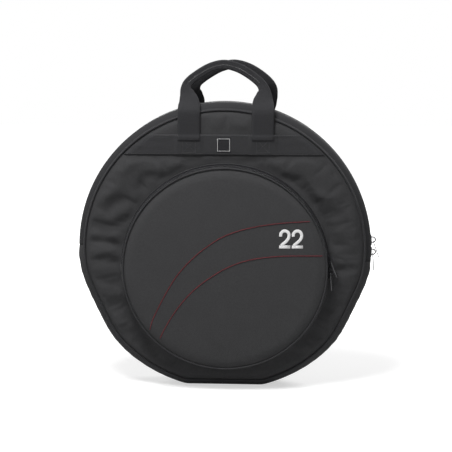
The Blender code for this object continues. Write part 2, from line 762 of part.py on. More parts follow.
def make_pocket(collection):
    rows, seam, split = pocket_face_rows()
    outer = [point for point, _ in reversed(rows)]
    shell = outer + [point - normal * SHELL for point, normal in rows]
    add_ring("pocket_face_shell", shell, POCKET_CENTRE, POCKET_FULL, NYLON, collection, True)
    face = rows[-1][0].y
    radius = POCKET_RADIUS - POCKET_FOAM_MARGIN
    top = face + SHELL + FIT
    edge = POCKET_RADIUS - POCKET_ROLL - SHELL
    section = [(0.0, top), (edge, top), (radius, top + POCKET_FOAM), (0.0, top + POCKET_FOAM)]
    add_ring("pocket_face_foam", section, POCKET_CENTRE, POCKET_FULL, PADDING, collection, True)
    top += POCKET_FOAM + FIT
    section = [(0.0, top), (radius, top), (radius, top + LINING), (0.0, top + LINING)]
    add_ring("pocket_face_lining", section, POCKET_CENTRE, POCKET_FULL, LINING_CLOTH, collection, True)
    piping = circle_section(seam + split * (POCKET_PIPING_RADIUS + FIT), POCKET_PIPING_RADIUS)
    add_ring("pocket_piping", piping, POCKET_CENTRE, POCKET_FULL, PIPING, collection)
    place = zip_places()[1]
    half = (seam - pocket_points()[0]).length / 2
    corners = ((-half, 0), (half, 0), (half, -SHELL), (-half, -SHELL))
    section = [place.point(wide, out) for wide, out in corners]
    spans = part_span(POCKET_FULL[1], POCKET_RADIUS)
    add_ring("pocket_gusset_base", section, POCKET_CENTRE, spans, NYLON, collection)


def split_ends(shares):
    """The same places with the first and the last stretch divided, to follow the rolled edge."""
    first, last = shares[:2], shares[-2:]
    steps = [n / ARC_END_STEPS for n in range(ARC_END_STEPS + 1)]
    start = [Vector(first[0]).lerp(Vector(first[1]), step) for step in steps]
    end = [Vector(last[0]).lerp(Vector(last[1]), step) for step in steps]
    return start + [Vector(share) for share in shares[2:-2]] + end


def make_arcs(collection):
    """Two thin lines of piping that sweep across the pocket's face."""
    rows = pocket_face_rows()[0]
    face, roll = rows[-1][0].y, POCKET_RADIUS - POCKET_ROLL
    for name, shares in (("upper_arc", UPPER_ARC_SHARES), ("lower_arc", LOWER_ARC_SHARES)):
        curve = bpy.data.curves.new(name, "CURVE")
        curve.dimensions = "3D"
        curve.bevel_depth = ARC_RADIUS
        curve.bevel_resolution = WIRE_ROUNDING
        curve.use_fill_caps = True
        spline = curve.splines.new("POLY")
        shares = split_ends(shares)
        spline.points.add(len(shares) - 1)
        for point, (wide, up) in zip(spline.points, shares):
            radius = POCKET_RADIUS * math.hypot(wide, up)
            share = max((radius - roll) / POCKET_ROLL, 0.0)
            depth = face + POCKET_DOME * share**2 - ARC_RADIUS - FIT
            place = Vector((POCKET_RADIUS * wide, depth, POCKET_RADIUS * up)) + POCKET_CENTRE
            point.co = (*place, 1.0)
        add_object("pocket_piping_" + name, curve, RED_PIPING, collection)


def handle_sections(side, shift):
    """Closed sections along one strap: flat legs, and a grip folded on itself."""
    half = HANDLE_SPACING / 2
    depth = STRAP_DEPTH - GRIP_SPACING / 2
    points = []
    for wide, up, inward, _, _ in HANDLE_SHARES:
        x = HANDLE_PLACE_X + wide * half + shift * inward
        y = side * (STRAP_DEPTH - depth * inward)
        points.append(Vector((x, y, HINGE_LEVEL + up * HANDLE_RISE)))
    sections = []
    for n, (_, _, _, full, fold) in enumerate(HANDLE_SHARES):
        before, after = points[max(n - 1, 0)], points[min(n + 1, len(points) - 1)]
        along = (after - before).normalized()
        out = Vector((0.0, side, 0.0))
        wide = along.cross(out).normalized()
        out = wide.cross(along).normalized()
        w = (GRIP_WIDTH + (WEBBING_WIDTH - GRIP_WIDTH) * full) / 2
        t = (WEBBING_THICKNESS + (GRIP_THICKNESS - WEBBING_THICKNESS) * fold) / 2
        inset = t * fold
        corners = (
            (-w, -t + inset), (-w + inset, -t), (w - inset, -t), (w, -t + inset),
            (w, t - inset), (w - inset, t), (-w + inset, t), (-w, t - inset),
        )
        if inset == 0:
            corners = corners[0:1] + corners[3:5] + corners[7:8]
        sections.append([points[n] + wide * a + out * b for a, b in corners])
    return sections


def make_handle(name, side, shift, collection):
    """Lofts one strap from its sections; its origin is on the seam line it swings about."""
    hinge = Vector((HANDLE_PLACE_X, side * STRAP_DEPTH, HINGE_LEVEL))
    bm = bmesh.new()
    loops = []
    for section in handle_sections(side, shift):
        verts = [bm.verts.new(point - hinge) for point in section]
        loops.append([bm.edges.new(pair) for pair in zip(verts, verts[1:] + verts[:1])])
    for one, other in zip(loops, loops[1:]):
        bmesh.ops.bridge_loops(bm, edges=one + other)
    bmesh.ops.holes_fill(bm, edges=[e for e in bm.edges if e.is_boundary], sides=0)
    obj = add_object(name, mesh_from(bm, name), WEBBING, collection)
    obj.location = hinge


def main():
    clear_scene()
    collection = new_collection("cymbal_bag")
    cutters = new_collection("cutters")
    make_panels(collection)
    make_base_rim(collection)
    make_zip_strips(collection)
    for place in zip_places():
        make_zip_tapes(place, collection)
        make_teeth(place, collection)
        make_end_tabs(place, collection)
    make_sliders(collection, cutters)
    make_bands(collection)
    make_label(collection)
    make_pocket(collection)
    make_arcs(collection)
    make_handle("front_handle", -1, 0.0, collection)
    make_handle("back_handle", 1, BACK_GRIP_SHIFT, collection)


main()
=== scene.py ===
# %% [markdown]
# # A round padded cymbal bag
#
# The bag is two padded discs of woven nylon, joined by a rim that is padded below and
# opens with a long zip above. A round pocket with its own zip is sewn on the front, and
# a webbing handle on each face. The solid model comes in as a fixed frame: it says where
# every part is and how it moves. This file makes what is seen: cloth, stitches, teeth.

import math

import bmesh
import bpy
import numpy as np
from mathutils import Matrix, Vector
from mathutils.bvhtree import BVHTree


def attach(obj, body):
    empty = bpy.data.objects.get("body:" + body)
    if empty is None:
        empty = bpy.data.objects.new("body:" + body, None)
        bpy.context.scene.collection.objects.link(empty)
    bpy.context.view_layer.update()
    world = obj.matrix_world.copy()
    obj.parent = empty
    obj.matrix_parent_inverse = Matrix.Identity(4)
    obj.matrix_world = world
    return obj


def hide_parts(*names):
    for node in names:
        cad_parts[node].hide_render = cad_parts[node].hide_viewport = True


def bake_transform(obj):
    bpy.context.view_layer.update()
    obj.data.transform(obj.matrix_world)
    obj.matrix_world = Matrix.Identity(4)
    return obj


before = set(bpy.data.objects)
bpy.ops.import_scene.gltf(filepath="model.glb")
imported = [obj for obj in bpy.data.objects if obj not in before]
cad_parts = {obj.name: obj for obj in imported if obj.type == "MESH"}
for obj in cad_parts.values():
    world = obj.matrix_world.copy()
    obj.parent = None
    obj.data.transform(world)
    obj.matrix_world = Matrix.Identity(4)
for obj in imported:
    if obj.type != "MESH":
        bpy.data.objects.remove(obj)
bpy.context.view_layer.update()

# %% [markdown]
# The photograph was taken from a little above and a touch to the right. A bag of 620 mm
# that fills two thirds of the picture from 2.4 m away needs a lens of about 93 mm. The
# camera is made first, so that each piece can be looked at as soon as it exists.

# %% Camera
TARGET = Vector((0.0025, 0.0, 0.3332))
VIEW_TURN, VIEW_RISE, VIEW_WAY = math.radians(3.0), math.radians(10.0), 2.4
camera = bpy.data.objects.new("camera", bpy.data.cameras.new("camera"))
bpy.context.scene.collection.objects.link(camera)
back = Vector((
    math.sin(VIEW_TURN) * math.cos(VIEW_RISE),
    -math.cos(VIEW_TURN) * math.cos(VIEW_RISE),
    math.sin(VIEW_RISE),
))
camera.location = TARGET + back * VIEW_WAY
camera.rotation_euler = back.to_track_quat("Z", "Y").to_euler()
camera.data.lens = 92.6
camera.data.clip_end = 20
bpy.context.scene.camera = camera
print("camera at", tuple(round(c, 3) for c in camera.location))

# %% [markdown]
# Shaders and Geometry Nodes are built with the same two helpers. A value that is a socket
# is linked, and any other value is set on the input.

# %% Node helpers
def add_node(tree, kind, inputs=(), **settings):
    """One node with its settings, values and links."""
    node = tree.nodes.new(kind)
    for key, value in settings.items():
        setattr(node, key, value)
    for key, value in dict(inputs).items():
        feed(tree, node, key, value)
    return node


def feed(tree, node, key, value):
    if isinstance(value, bpy.types.NodeSocket):
        tree.links.new(value, node.inputs[key])
    else:
        node.inputs[key].default_value = value


def math_node(tree, operation, *values, **settings):
    """The result of one Math node. Its values are numbers or sockets."""
    inputs = dict(enumerate(values))
    return add_node(tree, "ShaderNodeMath", inputs, operation=operation, **settings).outputs[0]


def new_material(name):
    """A material, its node tree and its shader node."""
    material = bpy.data.materials.new(name)
    material.use_nodes = True
    return material, material.node_tree, material.node_tree.nodes["Principled BSDF"]


# %% [markdown]
# A studio sweep is one white surface under soft light. The world is white for the
# camera and for reflections, and dimmer for the light that it gives, so dark cloth keeps
# its depth. The floor glows for the camera alone, least near the bag: it reads as white,
# and the shadow under the bag still shows.

# %% World and lamps
scene = bpy.context.scene
scene.view_settings.view_transform = "Standard"
world = bpy.data.worlds.new("studio")
scene.world = world
world.use_nodes = True
tree = world.node_tree
tree.nodes.clear()
rays = add_node(tree, "ShaderNodeLightPath").outputs
mirrored = math_node(tree, "ADD", rays["Is Glossy Ray"], rays["Is Transmission Ray"], use_clamp=True)
seen = math_node(tree, "ADD", mirrored, rays["Is Camera Ray"], use_clamp=True)
strength = add_node(tree, "ShaderNodeMapRange", {"Value": seen, "To Min": 0.12, "To Max": 1.0})
sky = add_node(tree, "ShaderNodeBackground", {
    "Color": (1, 1, 1, 1), "Strength": strength.outputs["Result"],
})
add_node(tree, "ShaderNodeOutputWorld", {"Surface": sky.outputs[0]})


def lamp(name, place, aim, size, watts):
    """A square soft box that points at a place."""
    light = bpy.data.lights.new(name, "AREA")
    light.size = size
    light.energy = watts
    obj = bpy.data.objects.new(name, light)
    scene.collection.objects.link(obj)
    obj.location = place
    way = Vector(aim) - Vector(place)
    obj.rotation_euler = way.to_track_quat("-Z", "Y").to_euler()
    return obj


lamp("soft_box_key", (-0.42, -0.85, 2.15), (0, 0, 0.28), 0.7, 52)
lamp("soft_box_front", (0.4, -2.4, 0.7), (0, 0, 0.25), 1.4, 8)
lamp("soft_box_left", (-2.2, -0.5, 1.1), (0, 0, 0.3), 0.8, 5)
lamp("soft_box_side", (1.3, 0.9, 1.5), (0, 0, 0.2), 0.9, 17)
lamp("soft_box_rear", (-0.7, 2.1, 1.3), (0, 0, 0.3), 1.1, 22)

# %% Floor
floor_mesh = bpy.data.meshes.new("floor")
FLOOR_HALF = 6.0
corners = [(-1, -1), (1, -1), (1, 1), (-1, 1)]
places = [(x * FLOOR_HALF, y * FLOOR_HALF, 0.0) for x, y in corners]
floor_mesh.from_pydata(places, [], [(0, 1, 2, 3)])
floor = bpy.data.objects.new("floor", floor_mesh)
scene.collection.objects.link(floor)
paper, tree, shader = new_material("white_sweep")
rays = add_node(tree, "ShaderNodeLightPath").outputs
place = add_node(tree, "ShaderNodeTexCoord").outputs["Object"]
distance = add_node(tree, "ShaderNodeVectorMath", {0: place}, operation="LENGTH").outputs["Value"]
spread = add_node(tree, "ShaderNodeMapRange", {
    "Value": distance, "From Min": 0.35, "From Max": 1.3, "To Min": 0.56, "To Max": 1.0,
}, interpolation_type="SMOOTHSTEP")
for label, value in {
    "Base Color": (0.55, 0.55, 0.55, 1),
    "Roughness": 0.9,
    "Specular IOR Level": 0.1,
    "Emission Color": (1, 1, 1, 1),
    "Emission Strength": math_node(tree, "MULTIPLY", rays["Is Camera Ray"], spread.outputs["Result"]),
}.items():
    feed(tree, shader, label, value)
floor_mesh.materials.append(paper)

# %% [markdown]
# These are the bag's own sizes, the same that the solid model has. Everything below
# hangs on them. The body is a true round that is laid on the floor by one mapping: it
# flattens the lowest part and draws the lower sides in a little, as the weight does.

# %% Sizes of the body
OUTER = 0.300
CENTRE = Vector((0.0, 0.0, 0.289))
SEAM_RADIUS, SEAM_DEPTH = 0.285, 0.035
FLAT_RADIUS, FACE_DEPTH = 0.270, 0.041
RIM_HALF = 0.018
WALL = 0.0083
POCKET = Vector((0.003, 0.0, 0.255))
POCKET_SEAM, POCKET_FLAT = 0.206, 0.188
POCKET_SEAM_DEPTH, POCKET_FACE_DEPTH = 0.068, 0.073
BAND_LOW, BAND_HIGH = 0.4845, 0.5265
LEG_X, LEG_HALF, HINGE_Z, STRAP_X = 0.074, 0.0225, 0.527, 0.0045
DRAW_START, DRAW_END, SIDE_DRAW = -6.0, -45.0, 0.008


def smooth_step(value, start, end):
    """0 before start, 1 after end, and a soft slope between."""
    share = np.clip((value - start) / (end - start), 0.0, 1.0)
    return share * share * (3 - 2 * share)


def settled(points):
    """Points of the true round, laid on the floor as the solid model is."""
    points = np.array(points, float)
    x, z = points[:, 0] - CENTRE.x, points[:, 2] - CENTRE.z
    radius = np.maximum(np.hypot(x, z), 1e-9)
    weight = smooth_step(radius, OUTER * 0.5, OUTER * 0.9)
    angle = np.degrees(np.arcsin(np.clip(z / radius, -1, 1)))
    along = np.clip((angle - DRAW_START) / (DRAW_END - DRAW_START), 0, 1)
    points[:, 0] -= SIDE_DRAW * weight * np.sin(math.pi * along) ** 2 * x / radius
    lift = np.maximum(OUTER - radius - points[:, 2], 0.0)
    points[:, 2] += lift * weight
    return points


# %% [markdown]
# Cloth is woven, and the weave follows the piece, not the room. So each piece gets a UV
# map measured in metres along and across its cloth, and one material helper draws the
# yarns from it. Two sine waves at right angles make a plain weave; the same waves slanted
# make the herringbone of webbing and zip tape.

# %% Materials
def noise_node(tree, vector, scale, detail=3.0, roughness=0.55):
    values = {"Vector": vector, "Scale": scale, "Detail": detail, "Roughness": roughness}
    return add_node(tree, "ShaderNodeTexNoise", values).outputs["Fac"]


def mottled(tree, noise, amount, shade):
    """A shade that noise makes a little lighter here and darker there."""
    return math_node(tree, "MULTIPLY_ADD", math_node(tree, "SUBTRACT", noise, 0.5), amount, shade)


def dress(tree, shader, colour, shade, gloss, height, strength, distance):
    """Puts a tinted colour, an uneven gloss and a bump on a shader."""
    inputs = {0: 1.0, 6: (*colour, 1), 7: shade}
    tint = add_node(tree, "ShaderNodeMix", inputs, data_type="RGBA", blend_type="MULTIPLY")
    bump = add_node(tree, "ShaderNodeBump", {"Strength": strength, "Distance": distance, "Height": height})
    tree.links.new(tint.outputs[2], shader.inputs["Base Color"])
    tree.links.new(gloss, shader.inputs["Roughness"])
    tree.links.new(bump.outputs[0], shader.inputs["Normal"])


def yarn_waves(tree, weave, yarn):
    """The height of the yarns on the UV map: plain weave, herringbone or twill."""
    uv = add_node(tree, "ShaderNodeUVMap", uv_map="cloth")
    split = add_node(tree, "ShaderNodeSeparateXYZ", {0: uv.outputs[0]}).outputs
    turn = 2 * math.pi / yarn
    if weave == "plain":
        warp, weft = (
            math_node(tree, "SINE", math_node(tree, "MULTIPLY", split[way], turn)) for way in ("X", "Y")
        )
        return math_node(tree, "MULTIPLY", warp, weft)
    wide = split["Y"]
    if weave == "herringbone":
        wide = math_node(tree, "PINGPONG", wide, yarn * 4)
    slant = math_node(tree, "ADD", split["X"], wide)
    return math_node(tree, "SINE", math_node(tree, "MULTIPLY", slant, turn))


def woven(name, colour, yarn, weave="plain", rough=0.8, depth=0.6, mottle=0.2):
    """A cloth whose yarns are drawn on the UV map, in metres."""
    material, tree, shader = new_material(name)
    for label, value in {"Sheen Weight": 0.04, "Sheen Roughness": 0.45, "Specular IOR Level": 0.12}.items():
        feed(tree, shader, label, value)
    place = add_node(tree, "ShaderNodeTexCoord").outputs["Object"]
    yarns = yarn_waves(tree, weave, yarn)
    uneven = noise_node(tree, place, 900.0, 2.0)
    cloud = noise_node(tree, place, 26.0, 4.0)
    grain = noise_node(tree, place, 330.0, 3.0, 0.7)
    height = math_node(tree, "MULTIPLY_ADD", uneven, 0.6, yarns)
    shade = math_node(tree, "MULTIPLY_ADD", yarns, 0.10, 1.0)
    shade = mottled(tree, grain, mottle * 2.2, mottled(tree, cloud, mottle, shade))
    gloss = math_node(tree, "MULTIPLY_ADD", cloud, 0.12, rough - 0.06)
    dress(tree, shader, colour, shade, gloss, height, depth, yarn * 0.07)
    return material


NYLON = woven("woven_nylon", (0.037, 0.037, 0.0385), 0.0011)
RIM_NYLON = woven("rim_nylon", (0.025, 0.025, 0.0265), 0.0011)
# The base gusset's nylon is drawn a little lighter than the panels': painted bounce light from the floor.
PAINTED_BOUNCE_BASE_NYLON = woven("painted_bounce_base_nylon", (0.040, 0.040, 0.0415), 0.0011)
WALL_NYLON = woven("wall_nylon", (0.017, 0.017, 0.0185), 0.0011)
POCKET_NYLON = woven("pocket_nylon", (0.042, 0.042, 0.0435), 0.0011)
LINING = woven("lining_cloth", (0.055, 0.055, 0.060), 0.0007, rough=0.7)
WEBBING = woven("strap_webbing", (0.025, 0.025, 0.027), 0.0026, "herringbone", depth=0.8)
BAND_WEBBING = woven("band_webbing", (0.032, 0.032, 0.034), 0.0026, "herringbone", depth=0.7)
PIPING = woven("piping_cloth", (0.030, 0.030, 0.032), 0.0010, "twill", rough=0.6)
RED_PIPING = woven("red_piping", (0.135, 0.022, 0.028), 0.0016, "twill", rough=0.55, mottle=0.1)
TAPE = woven("zip_tape_cloth", (0.014, 0.014, 0.016), 0.0009, "herringbone", rough=0.85)
PATCH = woven("patch_cloth", (0.018, 0.018, 0.020), 0.0006, rough=0.7)
print("cloths", [m.name for m in bpy.data.materials if m.name.endswith(("cloth", "nylon", "webbing"))])


# %% [markdown]
# Thread, moulded teeth, dark plated metal and print are not woven, so they share a
# second helper: a base colour with a soft variation, fine scratches in the gloss, and a
# bump at the scale of the finish.

# %% Hard finishes
def hard(name, colour, rough, metallic=0.0, scratch=400.0, stretch=(1, 1, 1), wear=0.2):
    """Thread, plastic, metal or print, with noise in its colour, gloss and surface."""
    material, tree, shader = new_material(name)
    feed(tree, shader, "Metallic", metallic)
    place = add_node(tree, "ShaderNodeTexCoord").outputs["Object"]
    mapping = add_node(tree, "ShaderNodeMapping", {"Vector": place, "Scale": stretch})
    fine = noise_node(tree, mapping.outputs[0], scratch, 4.0)
    shade = mottled(tree, noise_node(tree, place, 60.0, 3.0), wear, 1.0)
    gloss = math_node(tree, "MULTIPLY_ADD", fine, 0.25, rough - 0.12)
    dress(tree, shader, colour, shade, gloss, fine, 0.15, 0.0001)
    return material


THREAD = hard("dark_thread", (0.036, 0.036, 0.038), 0.55, scratch=2500.0)
GREY_THREAD = hard("grey_thread", (0.15, 0.15, 0.15), 0.5, scratch=2500.0)
PALE_THREAD = hard("pale_thread", (0.62, 0.62, 0.62), 0.5, scratch=2500.0)
TEETH = hard("zip_teeth_plastic", (0.016, 0.016, 0.018), 0.38, scratch=900.0)
DARK_METAL = hard("dark_plated_metal", (0.045, 0.045, 0.050), 0.32, 0.85, 700.0, wear=0.5)
BRIGHT_METAL = hard("bright_plated_metal", (0.14, 0.14, 0.145), 0.28, 0.9, 500.0, (1, 1, 0.08))
PRINT = hard("pale_print", (0.74, 0.74, 0.74), 0.6, scratch=800.0, wear=0.1)


# %% [markdown]
# Most pieces of the bag are a section carried along a path: panels, rims, piping and
# straps. One helper lays such a grid of points, closes it as asked, and writes the UV map
# in metres from the lengths of its own rows, so the weave never stretches.

# %% Grids of cloth
def link_mesh(name, mesh):
    obj = bpy.data.objects.new(name, mesh)
    scene.collection.objects.link(obj)
    return obj


def cloth_object(name, points, faces, slots, materials):
    """A smooth mesh in a new object, with its materials and an empty UV map."""
    mesh = bpy.data.meshes.new(name)
    mesh.from_pydata(points.tolist(), [], faces)
    mesh.uv_layers.new(name="cloth")
    mesh.polygons.foreach_set("material_index", slots)
    for material in materials:
        mesh.materials.append(material)
    return link_mesh(name, mesh)


def grid_piece(name, rows, materials, close_rows=False, close_columns=False, caps=False, slots=None):
    """A mesh from rows of points. A row is one section, and the rows follow the path."""
    rows = np.array(rows, float)
    count, wide = rows.shape[:2]
    run = np.concatenate([[0], np.cumsum(np.linalg.norm(np.diff(rows.mean(1), axis=0), axis=1))])
    if close_rows:
        step = np.linalg.norm(rows[0].mean(0) - rows[-1].mean(0))
    spread = np.linalg.norm(np.diff(rows, axis=1), axis=2).mean(0)
    width = np.concatenate([[0], np.cumsum(spread)])
    last = np.linalg.norm(rows[:, 0] - rows[:, -1], axis=1).mean()
    faces, uvs, kinds = [], [], []
    for r in range(count if close_rows else count - 1):
        s = (r + 1) % count
        for c in range(wide if close_columns else wide - 1):
            d = (c + 1) % wide
            faces.append((r * wide + c, s * wide + c, s * wide + d, r * wide + d))
            u0, u1 = run[r], run[s] if s else run[r] + step
            v0, v1 = width[c], width[d] if d else width[c] + last
            uvs.append(((u0, v0), (u1, v0), (u1, v1), (u0, v1)))
            kinds.append(slots[c] if slots is not None else 0)
    if caps:
        for ring in (range(wide), range((count - 1) * wide, count * wide)):
            faces.append(tuple(ring))
            uvs.append(tuple((0.0, width[i]) for i in range(wide)))
            kinds.append(0)
    obj = cloth_object(name, rows.reshape(-1, 3), faces, kinds, materials)
    layer = obj.data.uv_layers["cloth"]
    layer.data.foreach_set("uv", np.array([pair for face in uvs for pair in face]).ravel())
    outwards(obj)
    obj.data.shade_smooth()
    return obj


def outwards(obj, weld=0.0):
    """Joins points that meet, if asked, and turns all faces of a closed mesh out."""
    bm = bmesh.new()
    bm.from_mesh(obj.data)
    if weld:
        bmesh.ops.remove_doubles(bm, verts=bm.verts, dist=weld)
    bmesh.ops.recalc_face_normals(bm, faces=bm.faces)
    bm.to_mesh(obj.data)
    bm.free()


def finished(obj, body, slot, *nodes):
    """The piece rides on a body and stands for its solids. Its slot is not used."""
    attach(obj, body)
    if nodes:
        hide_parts(*nodes)
    return obj


# %% [markdown]
# ## The padded panels
#
# A panel is a layer of nylon, a sheet of foam and a lining, sewn together at the edge
# and quilted by what is sewn on it: the pocket's base seam and the webbing band. Between
# those lines the foam pushes the nylon out, and the tight pocket seam gathers it into
# short puckers. A cloth simulation gives the swell: the sewn lines are pinned, the cloth
# is a little too large for its frame, and air pressure stands for the foam.

# %% Cloth with foam behind it
CLOTH_FRAMES = 15


def cloth_puff(obj, pinned, pressure=4.0, spare=-0.02):
    """How far each vertex moves when foam presses the cloth out between its sewn lines."""
    rest = points_of(obj)
    copy = link_mesh("cloth_trial", obj.data.copy())
    group = copy.vertex_groups.new(name="sewn")
    for index in np.flatnonzero(pinned > 0):
        group.add([int(index)], float(pinned[index]), "REPLACE")
    cloth = copy.modifiers.new("foam", "CLOTH")
    settings = cloth.settings
    settings.quality = 4
    settings.mass = 0.25
    settings.tension_stiffness = 18
    settings.compression_stiffness = 18
    settings.bending_stiffness = 0.8
    settings.shrink_min = spare
    settings.use_pressure = True
    settings.uniform_pressure_force = pressure
    settings.vertex_group_mass = "sewn"
    settings.effector_weights.gravity = 0
    cloth.collision_settings.use_collision = False
    cloth.point_cache.frame_start = 1
    cloth.point_cache.frame_end = CLOTH_FRAMES
    for step in range(1, CLOTH_FRAMES + 1):
        scene.frame_set(step)
    graph = bpy.context.evaluated_depsgraph_get()
    moved = points_of(copy.evaluated_get(graph)) - rest
    bpy.data.objects.remove(copy, do_unlink=True)
    scene.frame_set(1)
    return moved


def points_of(obj):
    flat = np.zeros(len(obj.data.vertices) * 3)
    obj.data.vertices.foreach_get("co", flat)
    return flat.reshape(-1, 3)


def set_points(obj, points):
    obj.data.vertices.foreach_set("co", np.array(points, float).ravel())
    obj.data.update()


def smooth_finish(obj):
    finer = obj.modifiers.new("finer", "SUBSURF")
    finer.levels = finer.render_levels = 1
    return obj


# %% [markdown]
# Both panels are the same disc: a section turned about the axis, flat to 270 mm and
# rolled over to the seam at 285 mm. The inner side is the lining. The back panel is its
# mirror image.

# %% Panel discs
TURN_STEPS = 320
ROLL_DEPTH = FACE_DEPTH - SEAM_DEPTH


def face_depth(radius):
    """Depth of a panel's outer surface at a radius from the bag's middle."""
    over = np.clip((radius - FLAT_RADIUS) / (SEAM_RADIUS - FLAT_RADIUS), 0, 1)
    return FACE_DEPTH - ROLL_DEPTH * over**2


ROLL_RADII = [0.27, 0.2745, 0.2785, 0.2815, 0.2838, 0.2847]
OUT_RADII = np.concatenate([np.arange(0.170, 0.2665, 0.0046), ROLL_RADII])
IN_RADII = [0.2835, 0.2790, 0.272, 0.25, 0.22, 0.19, 0.17]
IN_DEPTHS = [0.0338, 0.0330] + [FACE_DEPTH - WALL] * 5
section = [(r, float(face_depth(r))) for r in OUT_RADII] + list(zip(IN_RADII, IN_DEPTHS))


def rows_at(angles, section, centre, side=1):
    """A (radius, depth) section at each angle about the axis, in radians."""
    return [
        [(centre.x + r * math.cos(a), side * d, centre.z + r * math.sin(a)) for r, d in section]
        for a in angles
    ]


def flat_uv(obj):
    """On a flat disc the cloth's grain runs straight up, so its UV map is its front view."""
    points = points_of(obj)
    loops = np.zeros(len(obj.data.loops), int)
    obj.data.loops.foreach_get("vertex_index", loops)
    obj.data.uv_layers["cloth"].data.foreach_set("uv", points[loops][:, [0, 2]].ravel())


def pole_grid(radius, depth, centre, side):
    """A square grid rounded into a disc, whose rim meets the turned rows point for point."""
    cells = TURN_STEPS // 4
    ways = np.linspace(-1, 1, cells + 1)
    u, v = np.meshgrid(ways, ways, indexing="ij")
    flat = np.abs(u) > np.abs(v)
    size = np.where(flat, u, v)
    ratio = np.where(flat, v, u) / np.where(size == 0, 1, size)
    turn = np.where(flat, ratio, 2 - ratio) * math.pi / 4
    x, z = centre.x + radius * size * np.cos(turn), centre.z + radius * size * np.sin(turn)
    points = np.stack([x, np.full_like(x, side * depth), z], axis=-1).reshape(-1, 3)
    n = cells + 1
    corners = [i * n + j for i in range(cells) for j in range(cells)]
    return points, [(c, c + n, c + n + 1, c + 1) for c in corners]


def disc_piece(name, section, centre, side, materials, kinds):
    """A turned section whose two sides are closed with square grids: a fan of
    triangles at the axis would make Subdivision Surface very slow, and pinch it."""
    angles = np.linspace(0, 2 * math.pi, TURN_STEPS, endpoint=False)
    rows = np.array(rows_at(angles, section, centre, side))
    count, wide = rows.shape[:2]
    points = [rows.reshape(-1, 3)]
    cells = [(r * wide + c, (r + 1) % count * wide + c) for r in range(count) for c in range(wide - 1)]
    faces = [(a, b, b + 1, a + 1) for a, b in cells]
    slots = [kinds[a % wide] for a, b in cells]
    for kind, (radius, depth) in ((0, section[0]), (1, section[-1])):
        first = sum(map(len, points))
        more, quads = pole_grid(radius, depth, centre, side)
        points.append(more)
        faces += [tuple(first + i for i in quad) for quad in quads]
        slots += [kind] * len(quads)
    obj = cloth_object(name, np.vstack(points), faces, slots, materials)
    outwards(obj, 1e-5)
    flat_uv(obj)
    obj.data.shade_smooth()
    return obj


kinds = [0] * len(OUT_RADII) + [1] * len(IN_RADII)
front_panel = disc_piece("front_panel", section, CENTRE, -1, [NYLON, LINING], kinds)
back_panel = disc_piece("back_panel", section, CENTRE, 1, [NYLON, LINING], kinds)
print("panel vertices", len(front_panel.data.vertices))

# %% [markdown]
# The puckers that the photograph shows are strongest left of the pocket and above its
# right shoulder, where the round pocket was eased on to the panel. Each is a short fold
# between two points: the simulation gives the general swell, and these folds are pressed
# on top of it as soft ridges and valleys.

# %% Folds in the front panel
# Each fold has its two ends as x and z, its half width, the side that it curls to and its
# height, with lengths in mm. A height below 0 is a valley.
UPPER_LEFT_FOLDS = [
    ((-170, 415), (-125, 445), 12, 1, -6.0), ((-235, 370), (-190, 390), 12, 1, -6.0),
    ((-250, 400), (-205, 440), 14, -1, 3.0), ((-215, 455), (-180, 480), 12, -1, 3.0),
    ((-150, 450), (-115, 465), 10, -1, 2.5),
]
LEFT_FOLDS = [
    ((-270, 340), (-200, 350), 12, -1, -6.5), ((-265, 320), (-220, 320), 8, -1, 2.5),
    ((-275, 305), (-210, 290), 9, 1, -6.0), ((-260, 280), (-220, 275), 8, 1, 2.5),
    ((-260, 265), (-210, 255), 10, 1, -4.5), ((-260, 225), (-215, 225), 10, -1, -3.5),
    ((-250, 205), (-215, 195), 8, 1, 2.5),
]
LOWER_LEFT_FOLDS = [
    ((-245, 175), (-200, 140), 14, 1, -8.0), ((-220, 135), (-185, 115), 8, 1, 2.5),
    ((-200, 115), (-150, 75), 14, 1, -8.0), ((-150, 75), (-100, 55), 12, -1, -7.0),
    ((-230, 175), (-155, 75), 22, 1, -3.0),
]
RIGHT_FOLDS = [
    ((130, 435), (180, 390), 14, 1, -8.0), ((180, 390), (240, 365), 14, -1, -7.0),
    ((170, 430), (220, 400), 10, -1, 4.0), ((230, 480), (255, 450), 12, -1, 2.5),
    ((205, 360), (240, 300), 14, -1, -8.0), ((250, 365), (260, 310), 10, 1, 2.5),
    ((230, 250), (275, 250), 6, 1, -4.5), ((230, 270), (270, 265), 6, -1, 2.0),
    ((210, 200), (255, 170), 12, -1, -5.0), ((160, 145), (215, 115), 12, -1, -5.0),
    ((125, 95), (165, 70), 12, -1, -4.5), ((0, 475), (60, 475), 12, -1, -2.0),
]
FRONT_FOLDS = UPPER_LEFT_FOLDS + LEFT_FOLDS + LOWER_LEFT_FOLDS + RIGHT_FOLDS
FOLD_CURL = 0.18
# The panel is 8 mm thick, so where valleys meet they stay above its inner face.
FOLD_DEEPEST = 0.0060
SKIN_MARGIN = 0.0015
print(len(FRONT_FOLDS), "folds in the front panel")


def fold_height(points, folds):
    """How far a set of folds lifts or presses each point, in metres."""
    total = np.zeros(len(points))
    flat = points[:, [0, 2]] * 1000
    for start, end, half, curl, height in folds:
        way = np.array(end) - np.array(start)
        length = np.linalg.norm(way)
        along = (flat - start) @ way / length**2
        bend = curl * FOLD_CURL * length * np.sin(math.pi * np.clip(along, 0, 1))
        off = (flat - start) @ np.array([-way[1], way[0]]) / length - bend
        reach = smooth_step(along, -0.35, 0.15) * (1 - smooth_step(along, 0.6, 1.35))
        total += height / 1000 * reach * np.exp(-((off / half) ** 2))
    pressed = FOLD_DEEPEST * np.tanh(np.minimum(total, 0) / FOLD_DEEPEST)
    return np.maximum(total, 0) + pressed


# Radii where the nylon is sewn down and where it is free again
EDGE_FREE, EDGE_SEWN, POCKET_SEWN = 0.268, 0.2835, 0.2145
SWELL_EASE, FOLD_EASE = 0.232, 0.2195


